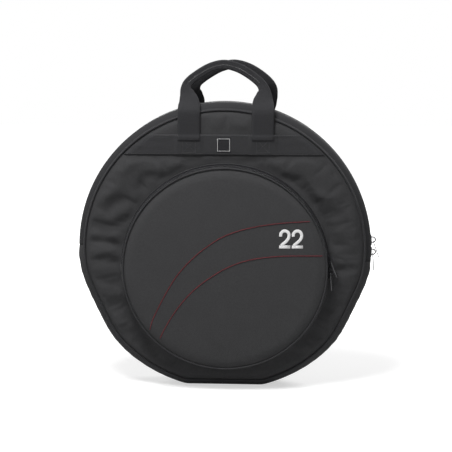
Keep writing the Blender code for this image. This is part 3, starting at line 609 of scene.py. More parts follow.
def leg_distance(x):
    """How far a place across the face is from the middle of the nearer strap's leg."""
    return np.minimum(np.abs(x - STRAP_X - LEG_X), np.abs(x - STRAP_X + LEG_X))


def free_share(points, side, ease=SWELL_EASE):
    """1 where a panel's nylon is free to swell, 0 along what is sewn on it."""
    x, z = points[:, 0], points[:, 2]
    radius = np.hypot(x - CENTRE.x, z - CENTRE.z)
    share = 1 - smooth_step(radius, EDGE_FREE, EDGE_SEWN)
    if side < 0:
        share *= smooth_step(np.hypot(x - POCKET.x, z - POCKET.z), POCKET_SEWN, ease)
    middle, half = (BAND_LOW + BAND_HIGH) / 2, (BAND_HIGH - BAND_LOW) / 2
    share *= smooth_step(np.abs(z - middle), half - 0.001, half + 0.016)
    hung = (z > BAND_HIGH - 0.01) * (1 - smooth_step(leg_distance(x), 0.024, 0.034))
    return share * (1 - hung)


def puff_panel(obj, side, cap, folds):
    """Swells a panel's outer face up to a cap, and presses its folds on top."""
    rest = points_of(obj)
    face = face_depth(np.hypot(rest[:, 0], rest[:, 2] - CENTRE.z))
    outer = np.abs(rest[:, 1]) > face - SKIN_MARGIN
    share = free_share(rest, side) * outer
    moved = cloth_puff(obj, np.where(share < 0.12, 1.0, 0.0))
    lift = np.clip(side * moved[:, 1], -0.001, cap) * share
    print(obj.name, "swell", round(float(lift.max()) * 1000, 1), "mm")
    lift += fold_height(rest, folds) * free_share(rest, side, FOLD_EASE) * outer
    rest[:, 1] += side * lift
    return settle_piece(obj, rest)


def settle_piece(obj, points):
    points = settled(points)
    points[:, 2] = np.maximum(points[:, 2], 0.0)
    set_points(obj, points)
    return smooth_finish(obj)


BACK_FOLDS = [
    ((-120, 300), (-30, 320), 16, -1, -1.4), ((40, 210), (130, 180), 17, 1, 1.4),
    ((-90, 140), (-20, 110), 15, 1, 1.2), ((60, 380), (150, 420), 16, -1, -1.3),
    ((-200, 200), (-235, 170), 11, 1, 1.6), ((205, 330), (250, 352), 11, 1, -1.6),
    ((-40, 440), (-60, 476), 11, 1, -1.4), ((90, 446), (110, 478), 12, -1, 1.4),
]
puff_panel(front_panel, -1, 0.0035, FRONT_FOLDS)
puff_panel(back_panel, 1, 0.0045, BACK_FOLDS)
for obj, side in ((front_panel, "front"), (back_panel, "back")):
    finished(obj, "bag", "nylon", *(f"{side}_panel_{part}" for part in ("shell", "foam", "lining")))

# %% [markdown]
# ## The rim
#
# Below, the rim is one padded strip of nylon from zip end to zip end, and it bulges
# between its two seams. It is made as the panels are. Above, it is two strips, one on
# each side of the zip, with their inner edges folded under and stitched.

# %% Padded lower rim
ZIP_START, ZIP_END = -4.0, 178.5
GAP_TRIM, END_STEP = 0.05, 0.1
RIM_WALL, STRIP_THICK, GUSSET_SWELL = 0.0075, 0.0012, 0.0022
MAIN_SPAN = ZIP_START + GAP_TRIM, ZIP_END - GAP_TRIM


def rim_radius(depth):
    """Radius of the rim's outer surface at a depth from the middle plane."""
    out = np.clip((np.abs(depth) - RIM_HALF) / (SEAM_DEPTH - RIM_HALF), 0, 1)
    return OUTER - (OUTER - SEAM_RADIUS) * out**2


def turned_rows(section, start, end, steps, centre=CENTRE):
    """Rows of a (radius, depth) section at angles in degrees. A close pair of rows at
    each end keeps the end square when the surface is made finer."""
    angles = np.linspace(start, end, steps + 1)
    ends = [start, start + END_STEP], [end - END_STEP, end]
    angles = np.radians(np.concatenate([ends[0], angles[1:-1], ends[1]]))
    return rows_at(angles, section, centre)


depths = [-0.0348, -0.033, -0.030, -0.026, -0.022, -0.018, -0.012, -0.006, 0.0]
depths += [-d for d in depths[-2::-1]]
outer = [(float(rim_radius(d)), d) for d in depths]
inner = [(float(rim_radius(d)) - RIM_WALL, d * 0.94) for d in depths[1:-1]]
section = outer + inner[::-1]
kinds = [0] * (len(outer) - 1) + [1] * (len(inner) + 1)
rows = turned_rows(section, ZIP_END + GAP_TRIM, ZIP_START + 360 - GAP_TRIM, 130)
# Its lighter nylon is painted bounce light from the floor beneath.
base_gusset = grid_piece(
    "base_gusset", rows, [PAINTED_BOUNCE_BASE_NYLON, LINING], close_columns=True, caps=True, slots=kinds
)
rest = points_of(base_gusset)
depth = np.abs(rest[:, 1])
radius = np.hypot(rest[:, 0], rest[:, 2] - CENTRE.z)
skin = radius > rim_radius(depth) - 0.001
angle = np.degrees(np.arctan2(rest[:, 2] - CENTRE.z, rest[:, 0])) % 360
first_end = smooth_step(angle, ZIP_END, ZIP_END + 3)
last_end = 1 - smooth_step(angle, ZIP_START + 357, ZIP_START + 360)
share = skin * (1 - smooth_step(depth, 0.026, 0.034)) * (first_end * last_end)
moved = cloth_puff(base_gusset, np.where(share < 0.12, 1.0, 0.0), pressure=3.0)
lift = np.clip(np.linalg.norm(moved, axis=1), 0, GUSSET_SWELL)
print("base gusset swell", round(float(lift.max()) * 1000, 1), "mm")
ripple = 0.0006 * np.sin(angle * 1.9) * np.sin(angle * 0.7 + 1.0)
lift = (lift + ripple) * share * smooth_step(rest[:, 2], 0.0, 0.06)
rest[:, 0] += lift * rest[:, 0] / radius
rest[:, 2] += lift * (rest[:, 2] - CENTRE.z) / radius
settle_piece(base_gusset, rest)
finished(base_gusset, "bag", "nylon", "base_gusset_shell", "base_gusset_foam", "base_gusset_lining")

# %% Rim strips beside the main zip
ZIP_HALF = 0.0078
for side, sign in (("front", -1), ("back", 1)):
    depths = [0.0348, 0.033, 0.030, 0.026, 0.022, 0.018, 0.0145, 0.0115, 0.0095, 0.0085, ZIP_HALF]
    lifts = [0, 0, 0.0003, 0.0006, 0.0007, 0.0006, 0.0004, 0.0001, 0.0003, 0.0004, 0.0]
    outer = [(float(rim_radius(d)) + up, sign * d) for d, up in zip(depths, lifts)]
    inner = [(r - STRIP_THICK, d) for r, d in outer]
    rows = turned_rows(outer + inner[::-1], *MAIN_SPAN, 220)
    strip = grid_piece(f"zip_strip_{side}", rows, [RIM_NYLON], close_columns=True, caps=True)
    finished(smooth_finish(strip), "bag", "nylon", f"zip_gusset_{side}")
print("rim strips done")


# %% [markdown]
# ## Piping
#
# Piping is a cord wrapped in cloth and caught in the seam. It covers the needle holes
# and gives the edge its hard bright line. It is a tube carried round the seam, with the
# wrap's slanted weave.

# %% Tubes along a path
def tube(name, path, radius, material, closed=True, sides=10, slot="piping", nodes=()):
    """A round cord along a path of points."""
    path = np.array(path, float)
    count = len(path)
    rows = []
    for n in range(count):
        before = path[(n - 1) % count] if closed else path[max(n - 1, 0)]
        after = path[(n + 1) % count] if closed else path[min(n + 1, count - 1)]
        along = Vector(after - before).normalized()
        side = along.cross(Vector((0, 1, 0))).normalized()
        up = along.cross(side)
        size = radius if closed or 0 < n < count - 1 else radius * 0.5
        turns = np.linspace(0, 2 * math.pi, sides, endpoint=False)
        rows.append([Vector(path[n]) + (side * math.cos(t) + up * math.sin(t)) * size for t in turns])
    obj = grid_piece(name, rows, [material], close_rows=closed, close_columns=True, caps=not closed)
    return finished(obj, "bag", slot, *nodes)


def ring(radius, depth, centre):
    angles = np.linspace(0, 2 * math.pi, 240, endpoint=False)
    return [row[0] for row in rows_at(angles, [(radius, depth)], centre)]


def wander(path, amount, seed):
    """The small unevenness of a hand-guided seam."""
    path = np.array(path, float)
    turn = np.arange(len(path)) * 2 * math.pi / len(path)
    rng = np.random.default_rng(seed)
    for axis in range(3):
        for beat in (7, 13, 23, 41):
            path[:, axis] += amount / beat**0.5 * np.sin(turn * beat + rng.uniform(0, 6.28)) * 0.6
    return path


PIPING_PLACE, PIPING_DEPTH, PIPING_HALF = 0.2861, 0.0372, 0.0022
for side, sign, seed in (("front", -1, 3), ("back", 1, 4)):
    path = settled(wander(ring(PIPING_PLACE, sign * PIPING_DEPTH, CENTRE), 0.0004, seed))
    path[:, 2] = np.maximum(path[:, 2], PIPING_HALF)
    tube(f"piping_{side}", path, PIPING_HALF, PIPING, nodes=[f"{side}_piping"])
path = wander(ring(0.2064, -0.0700, POCKET), 0.0002, 5)
tube("piping_pocket", path, 0.0018, PIPING, nodes=["pocket_piping"])
print("piping done")

# %% [markdown]
# ## The front pocket
#
# The pocket's disc is a thinner padded panel with a soft dome, rolled over at its seam.
# It is puffed with the same simulation, but its cap is low, because the real disc is
# drawn tight by its zip.

# %% Pocket disc
def pocket_depth(radius):
    """Depth of the pocket disc's surface at a radius from its middle."""
    over = np.clip((radius - POCKET_FLAT) / (POCKET_SEAM - POCKET_FLAT), 0, 1)
    return POCKET_FACE_DEPTH - (POCKET_FACE_DEPTH - POCKET_SEAM_DEPTH) * over**2


radii = [0.172, 0.177, 0.1825, 0.188, 0.193, 0.1975, 0.2012, 0.2038, 0.2050]
inner = [(0.2042, 0.0668), (0.198, 0.0670), (0.186, 0.0682), (0.172, 0.0682)]
section = [(r, float(pocket_depth(r))) for r in radii] + inner
kinds = [0] * len(radii) + [1] * len(inner)
pocket_disc = disc_piece("pocket_disc", section, POCKET, -1, [POCKET_NYLON, LINING], kinds)
rest = points_of(pocket_disc)
radius = np.hypot(rest[:, 0] - POCKET.x, rest[:, 2] - POCKET.z)
outer = -rest[:, 1] > np.array(pocket_depth(radius)) - 0.0012
share = outer * (1 - smooth_step(radius, 0.190, 0.2045))
moved = cloth_puff(pocket_disc, np.where(share < 0.05, 1.0, 0.0), pressure=2.0, spare=-0.004)
DISC_SWELL, DOME_RISE = 0.0015, 0.0030
lift = np.clip(-moved[:, 1], 0, DISC_SWELL)
dome = DOME_RISE * (1 - (radius / POCKET_SEAM) ** 2)
POCKET_FOLDS = [
    ((-110, 120), (-150, 170), 26, -1, -0.5), ((60, 90), (150, 130), 30, -1, 0.5),
    ((-120, 330), (-60, 400), 32, -1, 0.4),
]
rest[:, 1] -= share * (lift * 0.5 + dome + fold_height(rest, POCKET_FOLDS))
set_points(pocket_disc, rest)
print("pocket dome", round(float(-rest[:, 1].min()) * 1000, 1), "mm deep")
smooth_finish(pocket_disc)
finished(pocket_disc, "bag", "nylon", "pocket_face_shell", "pocket_face_foam", "pocket_face_lining")

# %% Pocket side walls
SLOPE = Vector((-0.289, -0.957)).normalized()
SLOPE_OUT = Vector((0.957, -0.289)).normalized()
SLOPE_MIDDLE = Vector((0.210, -0.05475))
SLOPE_HALF = 0.0138
POCKET_ZIP_START, POCKET_ZIP_END = -5.0, 179.0
POCKET_TRIM = 0.07


def slope_point(wide, out):
    """(radius, depth) at a place across the pocket's sloped side."""
    return tuple(SLOPE_MIDDLE + SLOPE * wide + SLOPE_OUT * out)


def slope_strip(name, section, span, steps, material, node):
    """A strip of nylon on the sloped side. The section gives place across and lift."""
    outer = [slope_point(wide, lift) for wide, lift in section]
    inner = [slope_point(wide, lift - STRIP_THICK) for wide, lift in section]
    rows = turned_rows(outer + inner[::-1], *span, steps, POCKET)
    obj = grid_piece(name, rows, [material], close_columns=True, caps=True)
    finished(smooth_finish(obj), "bag", "nylon", node)


LOW_HALF = [(0.0, 0.0014), (0.006, 0.0012), (0.011, 0.0006), (SLOPE_HALF, 0)]
low_section = [(-wide, lift) for wide, lift in LOW_HALF[:0:-1]] + LOW_HALF
LOW_SPAN = POCKET_ZIP_END + POCKET_TRIM, POCKET_ZIP_START + 360 - POCKET_TRIM
slope_strip("pocket_wall_low", low_section, LOW_SPAN, 120, RIM_NYLON, "pocket_gusset_base")
ZIP_SIDE = [(ZIP_HALF, 0), (0.0086, 0.0004), (0.0096, 0.0003), (0.0116, 0.0001), (SLOPE_HALF, 0)]
POCKET_SPAN = POCKET_ZIP_START + POCKET_TRIM, POCKET_ZIP_END - POCKET_TRIM
for end, sign in (("rear", -1), ("fore", 1)):
    section = [(sign * wide, lift) for wide, lift in ZIP_SIDE]
    slope_strip(f"pocket_wall_{end}", section, POCKET_SPAN, 160, WALL_NYLON, f"pocket_gusset_{end}")

# %% [markdown]
# ## Zips
#
# A zip is two tapes with a row of teeth on each, and the rows pass between one another.
# The same small tooth comes hundreds of times along an arc, which is work for Geometry
# Nodes: points are counted out, moved on to the arc by sine and cosine, and a tooth is
# set on each. The same tree makes the rim's chain and the pocket's, whose slope is an
# angle.

# %% Node tree helpers
def new_tree(name, inputs):
    """An empty Geometry Nodes tree with named inputs, its input sockets and its output."""
    tree = bpy.data.node_groups.new(name, "GeometryNodeTree")
    tree.interface.new_socket("Geometry", in_out="INPUT", socket_type="NodeSocketGeometry")
    for label, kind, value in inputs:
        item = tree.interface.new_socket(label, in_out="INPUT", socket_type="NodeSocket" + kind)
        if value is not None:
            item.default_value = value
    tree.interface.new_socket("Geometry", in_out="OUTPUT", socket_type="NodeSocketGeometry")
    return tree, tree.nodes.new("NodeGroupInput").outputs, tree.nodes.new("NodeGroupOutput")


def run_tree(name, tree, values, source):
    """The tree's result on a source mesh, as a plain mesh in a new object."""
    obj = link_mesh(name, source)
    modifier = obj.modifiers.new("made", "NODES")
    modifier.node_group = tree
    for item in tree.interface.items_tree:
        if item.in_out == "INPUT" and item.name in values:
            modifier[item.identifier] = values[item.name]
    graph = bpy.context.evaluated_depsgraph_get()
    made = bpy.data.meshes.new_from_object(obj.evaluated_get(graph))
    bpy.data.objects.remove(obj, do_unlink=True)
    return link_mesh(name, made)


def xyz_node(tree, **parts):
    return add_node(tree, "ShaderNodeCombineXYZ", parts).outputs[0]


def transformed(tree, geometry, **change):
    return add_node(tree, "GeometryNodeTransform", {"Geometry": geometry, **change}).outputs[0]


def set_on_points(tree, points, piece, rotation):
    """One copy of a piece on each point, made real."""
    inputs = {"Points": points, "Instance": piece, "Rotation": rotation}
    row = add_node(tree, "GeometryNodeInstanceOnPoints", inputs)
    return add_node(tree, "GeometryNodeRealizeInstances", {"Geometry": row.outputs[0]}).outputs[0]


def give_material(tree, geometry, material, result):
    inputs = {"Geometry": geometry, "Material": material}
    dressed = add_node(tree, "GeometryNodeSetMaterial", inputs)
    tree.links.new(dressed.outputs[0], result.inputs[0])
    return tree


# %% Tooth chain tree
tree, given, result = new_tree("tooth_chain", [
    ("Count", "Int", 100), ("Start", "Float", 0.0), ("Step", "Float", 0.01), ("Radius", "Float", 0.3),
    ("Depth", "Float", 0.0), ("Tilt", "Float", 0.0), ("Centre", "Vector", (0, 0, 0)),
    ("Material", "Material", None),
])
dots = add_node(tree, "GeometryNodePoints", {"Count": given["Count"]}).outputs[0]
index = add_node(tree, "GeometryNodeInputIndex").outputs[0]
angle = math_node(tree, "MULTIPLY_ADD", index, given["Step"], given["Start"])
across = math_node(tree, "MULTIPLY", math_node(tree, "COSINE", angle), given["Radius"])
upward = math_node(tree, "MULTIPLY", math_node(tree, "SINE", angle), given["Radius"])
place = xyz_node(tree, X=across, Y=given["Depth"], Z=upward)
moved = add_node(tree, "ShaderNodeVectorMath", {0: place, 1: given["Centre"]}, operation="ADD")
inputs = {"Geometry": dots, "Position": moved.outputs[0]}
laid = add_node(tree, "GeometryNodeSetPosition", inputs).outputs[0]
tooth = transformed(tree, given["Geometry"], Rotation=xyz_node(tree, Z=given["Tilt"]))
spin = xyz_node(tree, Y=math_node(tree, "MULTIPLY", angle, -1.0))
CHAIN_TREE = give_material(tree, set_on_points(tree, laid, tooth, spin), given["Material"], result)


def tooth_mesh(sign):
    """One tooth: a rounded bar across the tape with a swollen head past the middle."""
    bm = bmesh.new()
    stations = [
        (0.0054, 0.00062, 0.00055), (0.0030, 0.00070, 0.00080), (0.0008, 0.00066, 0.00085),
        (-0.0004, 0.00090, 0.00090), (-0.0014, 0.00086, 0.00078), (-0.0018, 0.00050, 0.00045),
    ]
    loops = []
    for wide, half, high in stations:
        near = [(0.7 * high, -half), (high, 0.0), (0.7 * high, half)]
        far = [(-up, -along) for up, along in near]
        loops.append([bm.verts.new((up, sign * wide, along)) for up, along in near + far])
    for one, other in zip(loops, loops[1:]):
        for n in range(6):
            bm.faces.new((one[n], one[(n + 1) % 6], other[(n + 1) % 6], other[n]))
    bm.faces.new(loops[0])
    bm.faces.new(loops[-1])
    bmesh.ops.recalc_face_normals(bm, faces=bm.faces)
    mesh = bpy.data.meshes.new("tooth")
    bm.to_mesh(mesh)
    bm.free()
    mesh.shade_smooth()
    return mesh


def make_chain(prefix, centre, radius, depth, tilt, start, end):
    """Both rows of a zip's teeth, the back row half a pitch on from the front row."""
    step = TOOTH_PITCH / radius
    start, end = start + CHAIN_TRIM, end - CHAIN_TRIM
    count = int(math.radians(end - start) / step)
    values = {"Count": count, "Step": step, "Radius": radius, "Depth": depth, "Tilt": tilt}
    values.update({"Centre": tuple(centre), "Material": TEETH})
    for side, sign, shift in (("front", -1, 0.0), ("back", 1, 0.5)):
        values["Start"] = math.radians(start) + step * (0.5 + shift)
        obj = run_tree(f"{prefix}teeth_{side}_row", CHAIN_TREE, values, tooth_mesh(sign))
        finished(obj, "bag", "zip_teeth", f"{prefix}teeth_{side}")
    print(prefix, count, "teeth a side")


TOOTH_PITCH, CHAIN_TRIM = 0.0025, 0.3
SLOPE_TILT = math.atan2(SLOPE_OUT.y, SLOPE_OUT.x)
chain = slope_point(0, -0.0003)
make_chain("main_zip_", CENTRE, 0.2997, 0.0, 0.0, ZIP_START, ZIP_END)
make_chain("pocket_zip_", POCKET, *chain, SLOPE_TILT, POCKET_ZIP_START, POCKET_ZIP_END)

# %% Zip tapes and end tabs
TAPE_IN, TAPE_MIDDLE, TAPE_OUT = 0.0022, 0.0072, 0.0124
TAPE_LOW, TAPE_HIGH = 0.0023, 0.0015
TAPE_SECTION = [
    (TAPE_IN, TAPE_HIGH), (TAPE_MIDDLE, TAPE_HIGH), (TAPE_OUT, TAPE_HIGH), (TAPE_OUT, TAPE_LOW),
    (TAPE_IN, TAPE_LOW),
]


def tape_piece(zip_name, side, rows):
    tape = grid_piece(f"{zip_name}_tape_{side}", rows, [TAPE], close_columns=True, caps=True)
    finished(tape, "bag", "zip_tape", f"{zip_name}_zip_tape_{side}")


for side, sign in (("front", -1), ("back", 1)):
    section = [(OUTER - down, sign * wide) for wide, down in TAPE_SECTION]
    tape_piece("main", side, turned_rows(section, *MAIN_SPAN, 160))
    section = [slope_point(-sign * wide, -down) for wide, down in TAPE_SECTION]
    tape_piece("pocket", side, turned_rows(section, *POCKET_SPAN, 140, POCKET))


def zip_frame(centre, middle, out, angle):
    """Axes at a place on a zip: along the chain, across it, and out of it."""
    a = math.radians(angle)

    def laid(pair):
        return Vector((pair[0] * math.cos(a), pair[1], pair[0] * math.sin(a)))

    along = Vector((-math.sin(a), 0, math.cos(a)))
    outward = laid(out).normalized()
    wide = outward.cross(along).normalized()
    turn = Matrix((along, wide, outward)).transposed().to_4x4()
    return Matrix.Translation(Vector(centre) + laid(middle)) @ turn


def tab_piece(name, matrix, node):
    """A folded scrap of nylon over the chain's end, slightly arched."""
    rows = []
    places = np.linspace(-TAB_HALF, TAB_HALF, 9)
    for n in range(9):
        x = -TAB_REACH + 2 * TAB_REACH * n / 8
        drop = 0.0004 if n in (0, 8) else 0
        top = [(x, y, 0.0021 - 0.0006 * (y / TAB_HALF) ** 2 - drop) for y in places]
        low = [(x, y, 0.0009) for y in places[::-1]]
        rows.append([matrix @ Vector(p) for p in top + low])
    obj = grid_piece(name, rows, [RIM_NYLON], close_columns=True, caps=True)
    finished(obj, "bag", "nylon", node)


TAB_HALF, TAB_REACH = 0.0089, 0.0080
TAB_PLACE = 0.006
for zip_name, centre, middle, out, ends in (
    ("main", CENTRE, (OUTER, 0), (1, 0), MAIN_SPAN),
    ("pocket", POCKET, SLOPE_MIDDLE, SLOPE_OUT, POCKET_SPAN),
):
    past = math.degrees(TAB_PLACE / middle[0])
    for side, angle in (("right", ends[0] - past), ("left", ends[1] + past)):
        matrix = zip_frame(centre, middle, out, angle)
        tab_piece(f"{zip_name}_end_tab_{side}", matrix, f"{zip_name}_zip_end_tab_{side}")

# %% [markdown]
# Sliders and pulls are cast metal, and their solids already have the right shape. They
# stay, and only get their plated finish.

# %% Slider and pull finishes
for name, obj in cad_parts.items():
    kind = DARK_METAL if "_slider_" in name else BRIGHT_METAL if "_pull_" in name else None
    if kind:
        for place in obj.material_slots:
            place.material = kind

# %% [markdown]
# ## Webbing band
#
# A band of 42 mm webbing is sewn across each face, and the handle's ends are sewn under
# it. It hugs the panel's roll at both ends, and stands out a little where a strap passes
# beneath, which is what catches the light beside each leg.

# %% Bands
BAND_REACH, BAND_STITCH_REACH = 0.2812, 0.279
BAND_THICK, BAND_GAP, STRAP_BULGE = 0.0015, 0.0003, 0.0022


def over_legs(x):
    """1 where a strap lies under the band, 0 away from it."""
    return 1 - smooth_step(leg_distance(x), LEG_HALF, LEG_HALF + 0.009)


def band_piece(side, sign, node):
    rows = []
    middle, half = (BAND_LOW + BAND_HIGH) / 2, (BAND_HIGH - BAND_LOW) / 2
    for share in np.linspace(-1, 1, 161):
        top, low = [], []
        for z in np.linspace(BAND_LOW, BAND_HIGH, 15):
            x = share * math.sqrt(BAND_REACH**2 - (z - CENTRE.z) ** 2)
            rise = 0.35 + 0.65 * smooth_step(z, BAND_LOW + 0.004, BAND_HIGH - 0.010)
            raised = STRAP_BULGE * over_legs(x) * rise
            depth = face_depth(math.hypot(x, z - CENTRE.z)) + BAND_GAP + raised
            at_edge = abs(z - middle) / half > 0.95
            top.append((x, sign * (depth + BAND_THICK - 0.0005 * at_edge), z))
            low.append((x, sign * depth, z))
        rows.append(top + low[::-1])
    obj = grid_piece(f"webbing_band_{side}", rows, [BAND_WEBBING], close_columns=True, caps=True)
    return finished(obj, "bag", "webbing", node)


bands = {side: band_piece(side, sign, f"{side}_band") for side, sign in (("front", -1), ("back", 1))}

# %% [markdown]
# ## Handles
#
# Each handle is one strap. Its legs are flat 45 mm webbing, and over the hand it is
# folded lengthwise into a firm grip, with the upper layer's edge stitched down. The
# stations below give place, width and folding along the strap, and a smooth curve through
# them gives the many sections between.

# %% Handle straps
STRAP_DEPTH, HANDLE_RISE, GRIP_OFF = 0.0441, 0.137, 0.0361
EDGE_ROUND, LAP = 0.0006, 0.0008
GRIP_WIDTH, LEG_WIDTH, LEG_THICK, GRIP_THICK = 0.019, 0.045, 0.002, 0.006
# Each station: place across, up and inward, share of the full width, share of folding
LEG_PLACES = [(-0.085, -0.05), (-0.04, -0.045), (0.0, 0.0), (0.10, 0.0), (0.20, 0.0), (0.34, 0.04)]
GRIP_STATIONS = [
    (-1.01, 0.46, 0.36, 0.88, 0.0), (-1.06, 0.56, 0.62, 0.50, 0.2), (-1.10, 0.65, 0.80, 0.14, 0.7),
    (-1.03, 0.745, 0.92, 0.0, 1.0), (-0.76, 0.86, 0.98, 0.0, 1.0), (-0.42, 0.96, 1.0, 0.0, 1.0),
    (-0.06, 1.0, 1.0, 0.0, 1.0), (0.30, 0.955, 1.0, 0.0, 1.0), (0.62, 0.86, 0.98, 0.0, 1.0),
    (0.89, 0.745, 0.92, 0.0, 1.0), (1.01, 0.65, 0.80, 0.14, 0.7), (1.02, 0.56, 0.62, 0.50, 0.2),
    (1.00, 0.46, 0.36, 0.88, 0.0),
]
LEFT_LEG = [(-1.0, up, inward, 1.0, 0.0) for up, inward in LEG_PLACES]
RIGHT_LEG = [(1.0, up, inward, 1.0, 0.0) for up, inward in LEG_PLACES[::-1]]
STATIONS = np.array(LEFT_LEG + GRIP_STATIONS + RIGHT_LEG)


def smooth_rows(rows, between):
    """A Catmull-Rom curve through rows of numbers."""
    rows = np.array(rows, float)
    padded = np.vstack([rows[:1], rows, rows[-1:]])
    found = []
    for n in range(len(rows) - 1):
        a, b, c, d = padded[n : n + 4]
        for t in np.arange(between) / between:
            square, cube = 2 * a - 5 * b + 4 * c - d, 3 * b - a - 3 * c + d
            found.append(0.5 * (2 * b + (c - a) * t + square * t**2 + cube * t**3))
    found.append(rows[-1])
    return np.array(found)


def strap_outline(width, thick, fold):
    """Points round a strap's section: a flat band, or a folded grip with its lapped edge."""
    w, t = width / 2, thick / 2
    round_off = EDGE_ROUND + (t - EDGE_ROUND) * fold * 0.9

    def drop(a):
        near = min(w - abs(a), round_off)
        return round_off - math.sqrt(max(round_off**2 - (round_off - near) ** 2, 0))

    across = [-w + 2 * w * n / 12 for n in range(13)]
    points = []
    for a in across:
        lap = LAP * fold * (a > -0.12 * w) * (1.0 if a < 0.96 * w else 0.3)
        points.append((a, -t + drop(a) - lap))
    return points + [(a, t - drop(a)) for a in across[::-1]]


def handle_piece(name, side, shift, node):
    stations = smooth_rows(STATIONS, 6)
    stations[:, 3:] = np.clip(stations[:, 3:], 0, 1)
    places = []
    for wide, up, inward, _, _ in stations:
        x = STRAP_X + wide * LEG_X + shift * max(inward, 0.0)
        places.append(Vector((x, side * (STRAP_DEPTH - GRIP_OFF * inward), HINGE_Z + up * HANDLE_RISE)))
    rows, lines = [], []
    for n, (_, _, _, full, fold) in enumerate(stations):
        before, after = places[max(n - 1, 0)], places[min(n + 1, len(places) - 1)]
        along = (after - before).normalized()
        out = Vector((0.0, side, 0.0))
        wide = along.cross(out).normalized()
        out = wide.cross(along).normalized()
        width = GRIP_WIDTH + (LEG_WIDTH - GRIP_WIDTH) * full
        outline = strap_outline(width, LEG_THICK + (GRIP_THICK - LEG_THICK) * fold, fold)
        rows.append([places[n] + wide * a - out * b for a, b in outline])
        lines.append((places[n], wide, out, fold))
    obj = grid_piece(name, rows, [WEBBING], close_columns=True, caps=True)
    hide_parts(node)
    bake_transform(obj)
    return lines


front_lines = handle_piece("carry_handle_front", -1, 0.0, "front_handle")
back_lines = handle_piece("carry_handle_back", 1, 0.019, "back_handle")

# %% [markdown]
# ## Patch and red piping
#
# The band carries a small plain patch with a stitched edge. Two thin lines of dark red
# piping sweep over the pocket's disc. Their points are laid on the finished dome by
# casting a ray back at it, so that they follow its real surface.

# %% Patch
PATCH_HALF, PATCH_Z = 0.0135, 0.5055
PATCH_FACE, PATCH_BACK = -0.0440, -0.0431


def patch_row(x, heights):
    """A cut through the patch. Its face is lowered a little along the stitched edge."""
    face = [PATCH_FACE + 0.0003 * (max(abs(x), abs(z)) > 0.0125) for z in heights]
    top = [(x, y, PATCH_Z + z) for y, z in zip(face, heights)]
    return top + [(x, PATCH_BACK, PATCH_Z + z) for z in heights[::-1]]


heights = np.linspace(-PATCH_HALF, PATCH_HALF, 13)
patch_rows = [patch_row(-PATCH_HALF + 2 * PATCH_HALF * n / 12, heights) for n in range(13)]
patch = grid_piece("plain_patch", patch_rows, [PATCH], close_columns=True, caps=True)
finished(patch, "bag", "label", "label_patch")

# %% Red piping
graph = bpy.context.evaluated_depsgraph_get()
bpy.context.view_layer.update()
disc_tree = BVHTree.FromObject(pocket_disc, graph)


def on_disc(x, z, lift):
    hit = disc_tree.ray_cast(Vector((x, -0.2, z)), Vector((0, 1, 0)))
    return Vector((x, hit[0].y - lift, z))


# Points of each line, as shares of the pocket's radius across and up from its middle
UPPER_ARC = [
    (-0.740, -0.610), (-0.699, -0.481), (-0.569, -0.223), (-0.450, -0.036), (-0.284, 0.144),
    (-0.106, 0.282), (0.013, 0.349), (0.17, 0.406), (0.348, 0.447), (0.598, 0.480), (0.830, 0.493),
]
LOWER_ARC = [
    (-0.640, -0.695), (-0.569, -0.553), (-0.462, -0.385), (-0.343, -0.241), (-0.224, -0.133),
    (-0.106, -0.048), (0.013, 0.024), (0.17, 0.089), (0.348, 0.130), (0.598, 0.153),
    (0.900, 0.155), (0.955, 0.155),
]
for name, arc in (("upper", UPPER_ARC), ("lower", LOWER_ARC)):
    path = smooth_rows(arc, 12) * POCKET_SEAM
    path = [on_disc(POCKET.x + x, POCKET.z + z, 0.0005) for x, z in path]
    node = f"pocket_piping_{name}_arc"
    tube(
        f"red_piping_{name}", path, 0.0007, RED_PIPING,
        closed=False, sides=8, slot="red_piping", nodes=[node],
    )

# %% [markdown]
# ## The number
#
# The pale number on the pocket is a plain condensed one, drawn here as a broad stroke
# along its own centre line, and printed thinly on the cloth.

# %% Number
def two_centre_line(w, h):
    """The centre line of a plain 2 in a box w wide and h high, from its upper left."""
    r = w / 2
    points = [(-r, h - r - 0.10 * h)]
    for n in range(17):
        t = math.pi * (1 - n / 16)
        points.append((r * math.cos(t), h - r + r * math.sin(t)))
    points += [(r, h - r - 0.06 * h), (0.90 * r, h * 0.56), (0.45 * r, h * 0.38)]
    points += [(-0.55 * r, h * 0.16), (-0.86 * r, h * 0.08)]
    return np.array(points)


def stroke(path, half):
    """Left and right edges of a broad stroke along a path."""
    path = np.array(path)
    way = np.gradient(path, axis=0)
    way /= np.linalg.norm(way, axis=1, keepdims=True)
    side = np.stack([-way[:, 1], way[:, 0]], axis=1)
    return path + side * half, path - side * half


def print_piece(name, left, right):
    """Thin print on the pocket disc, between a left and a right edge."""
    rows = []
    for a, b in zip(left, right):
        cross = [a + (b - a) * s for s in (0, 0.25, 0.5, 0.75, 1)]
        low = [on_disc(*p, 0.0) for p in cross[::-1]]
        rows.append([on_disc(*p, PRINT_LIFT) for p in cross] + low)
    return grid_piece(name, rows, [PRINT], close_columns=True, caps=True)


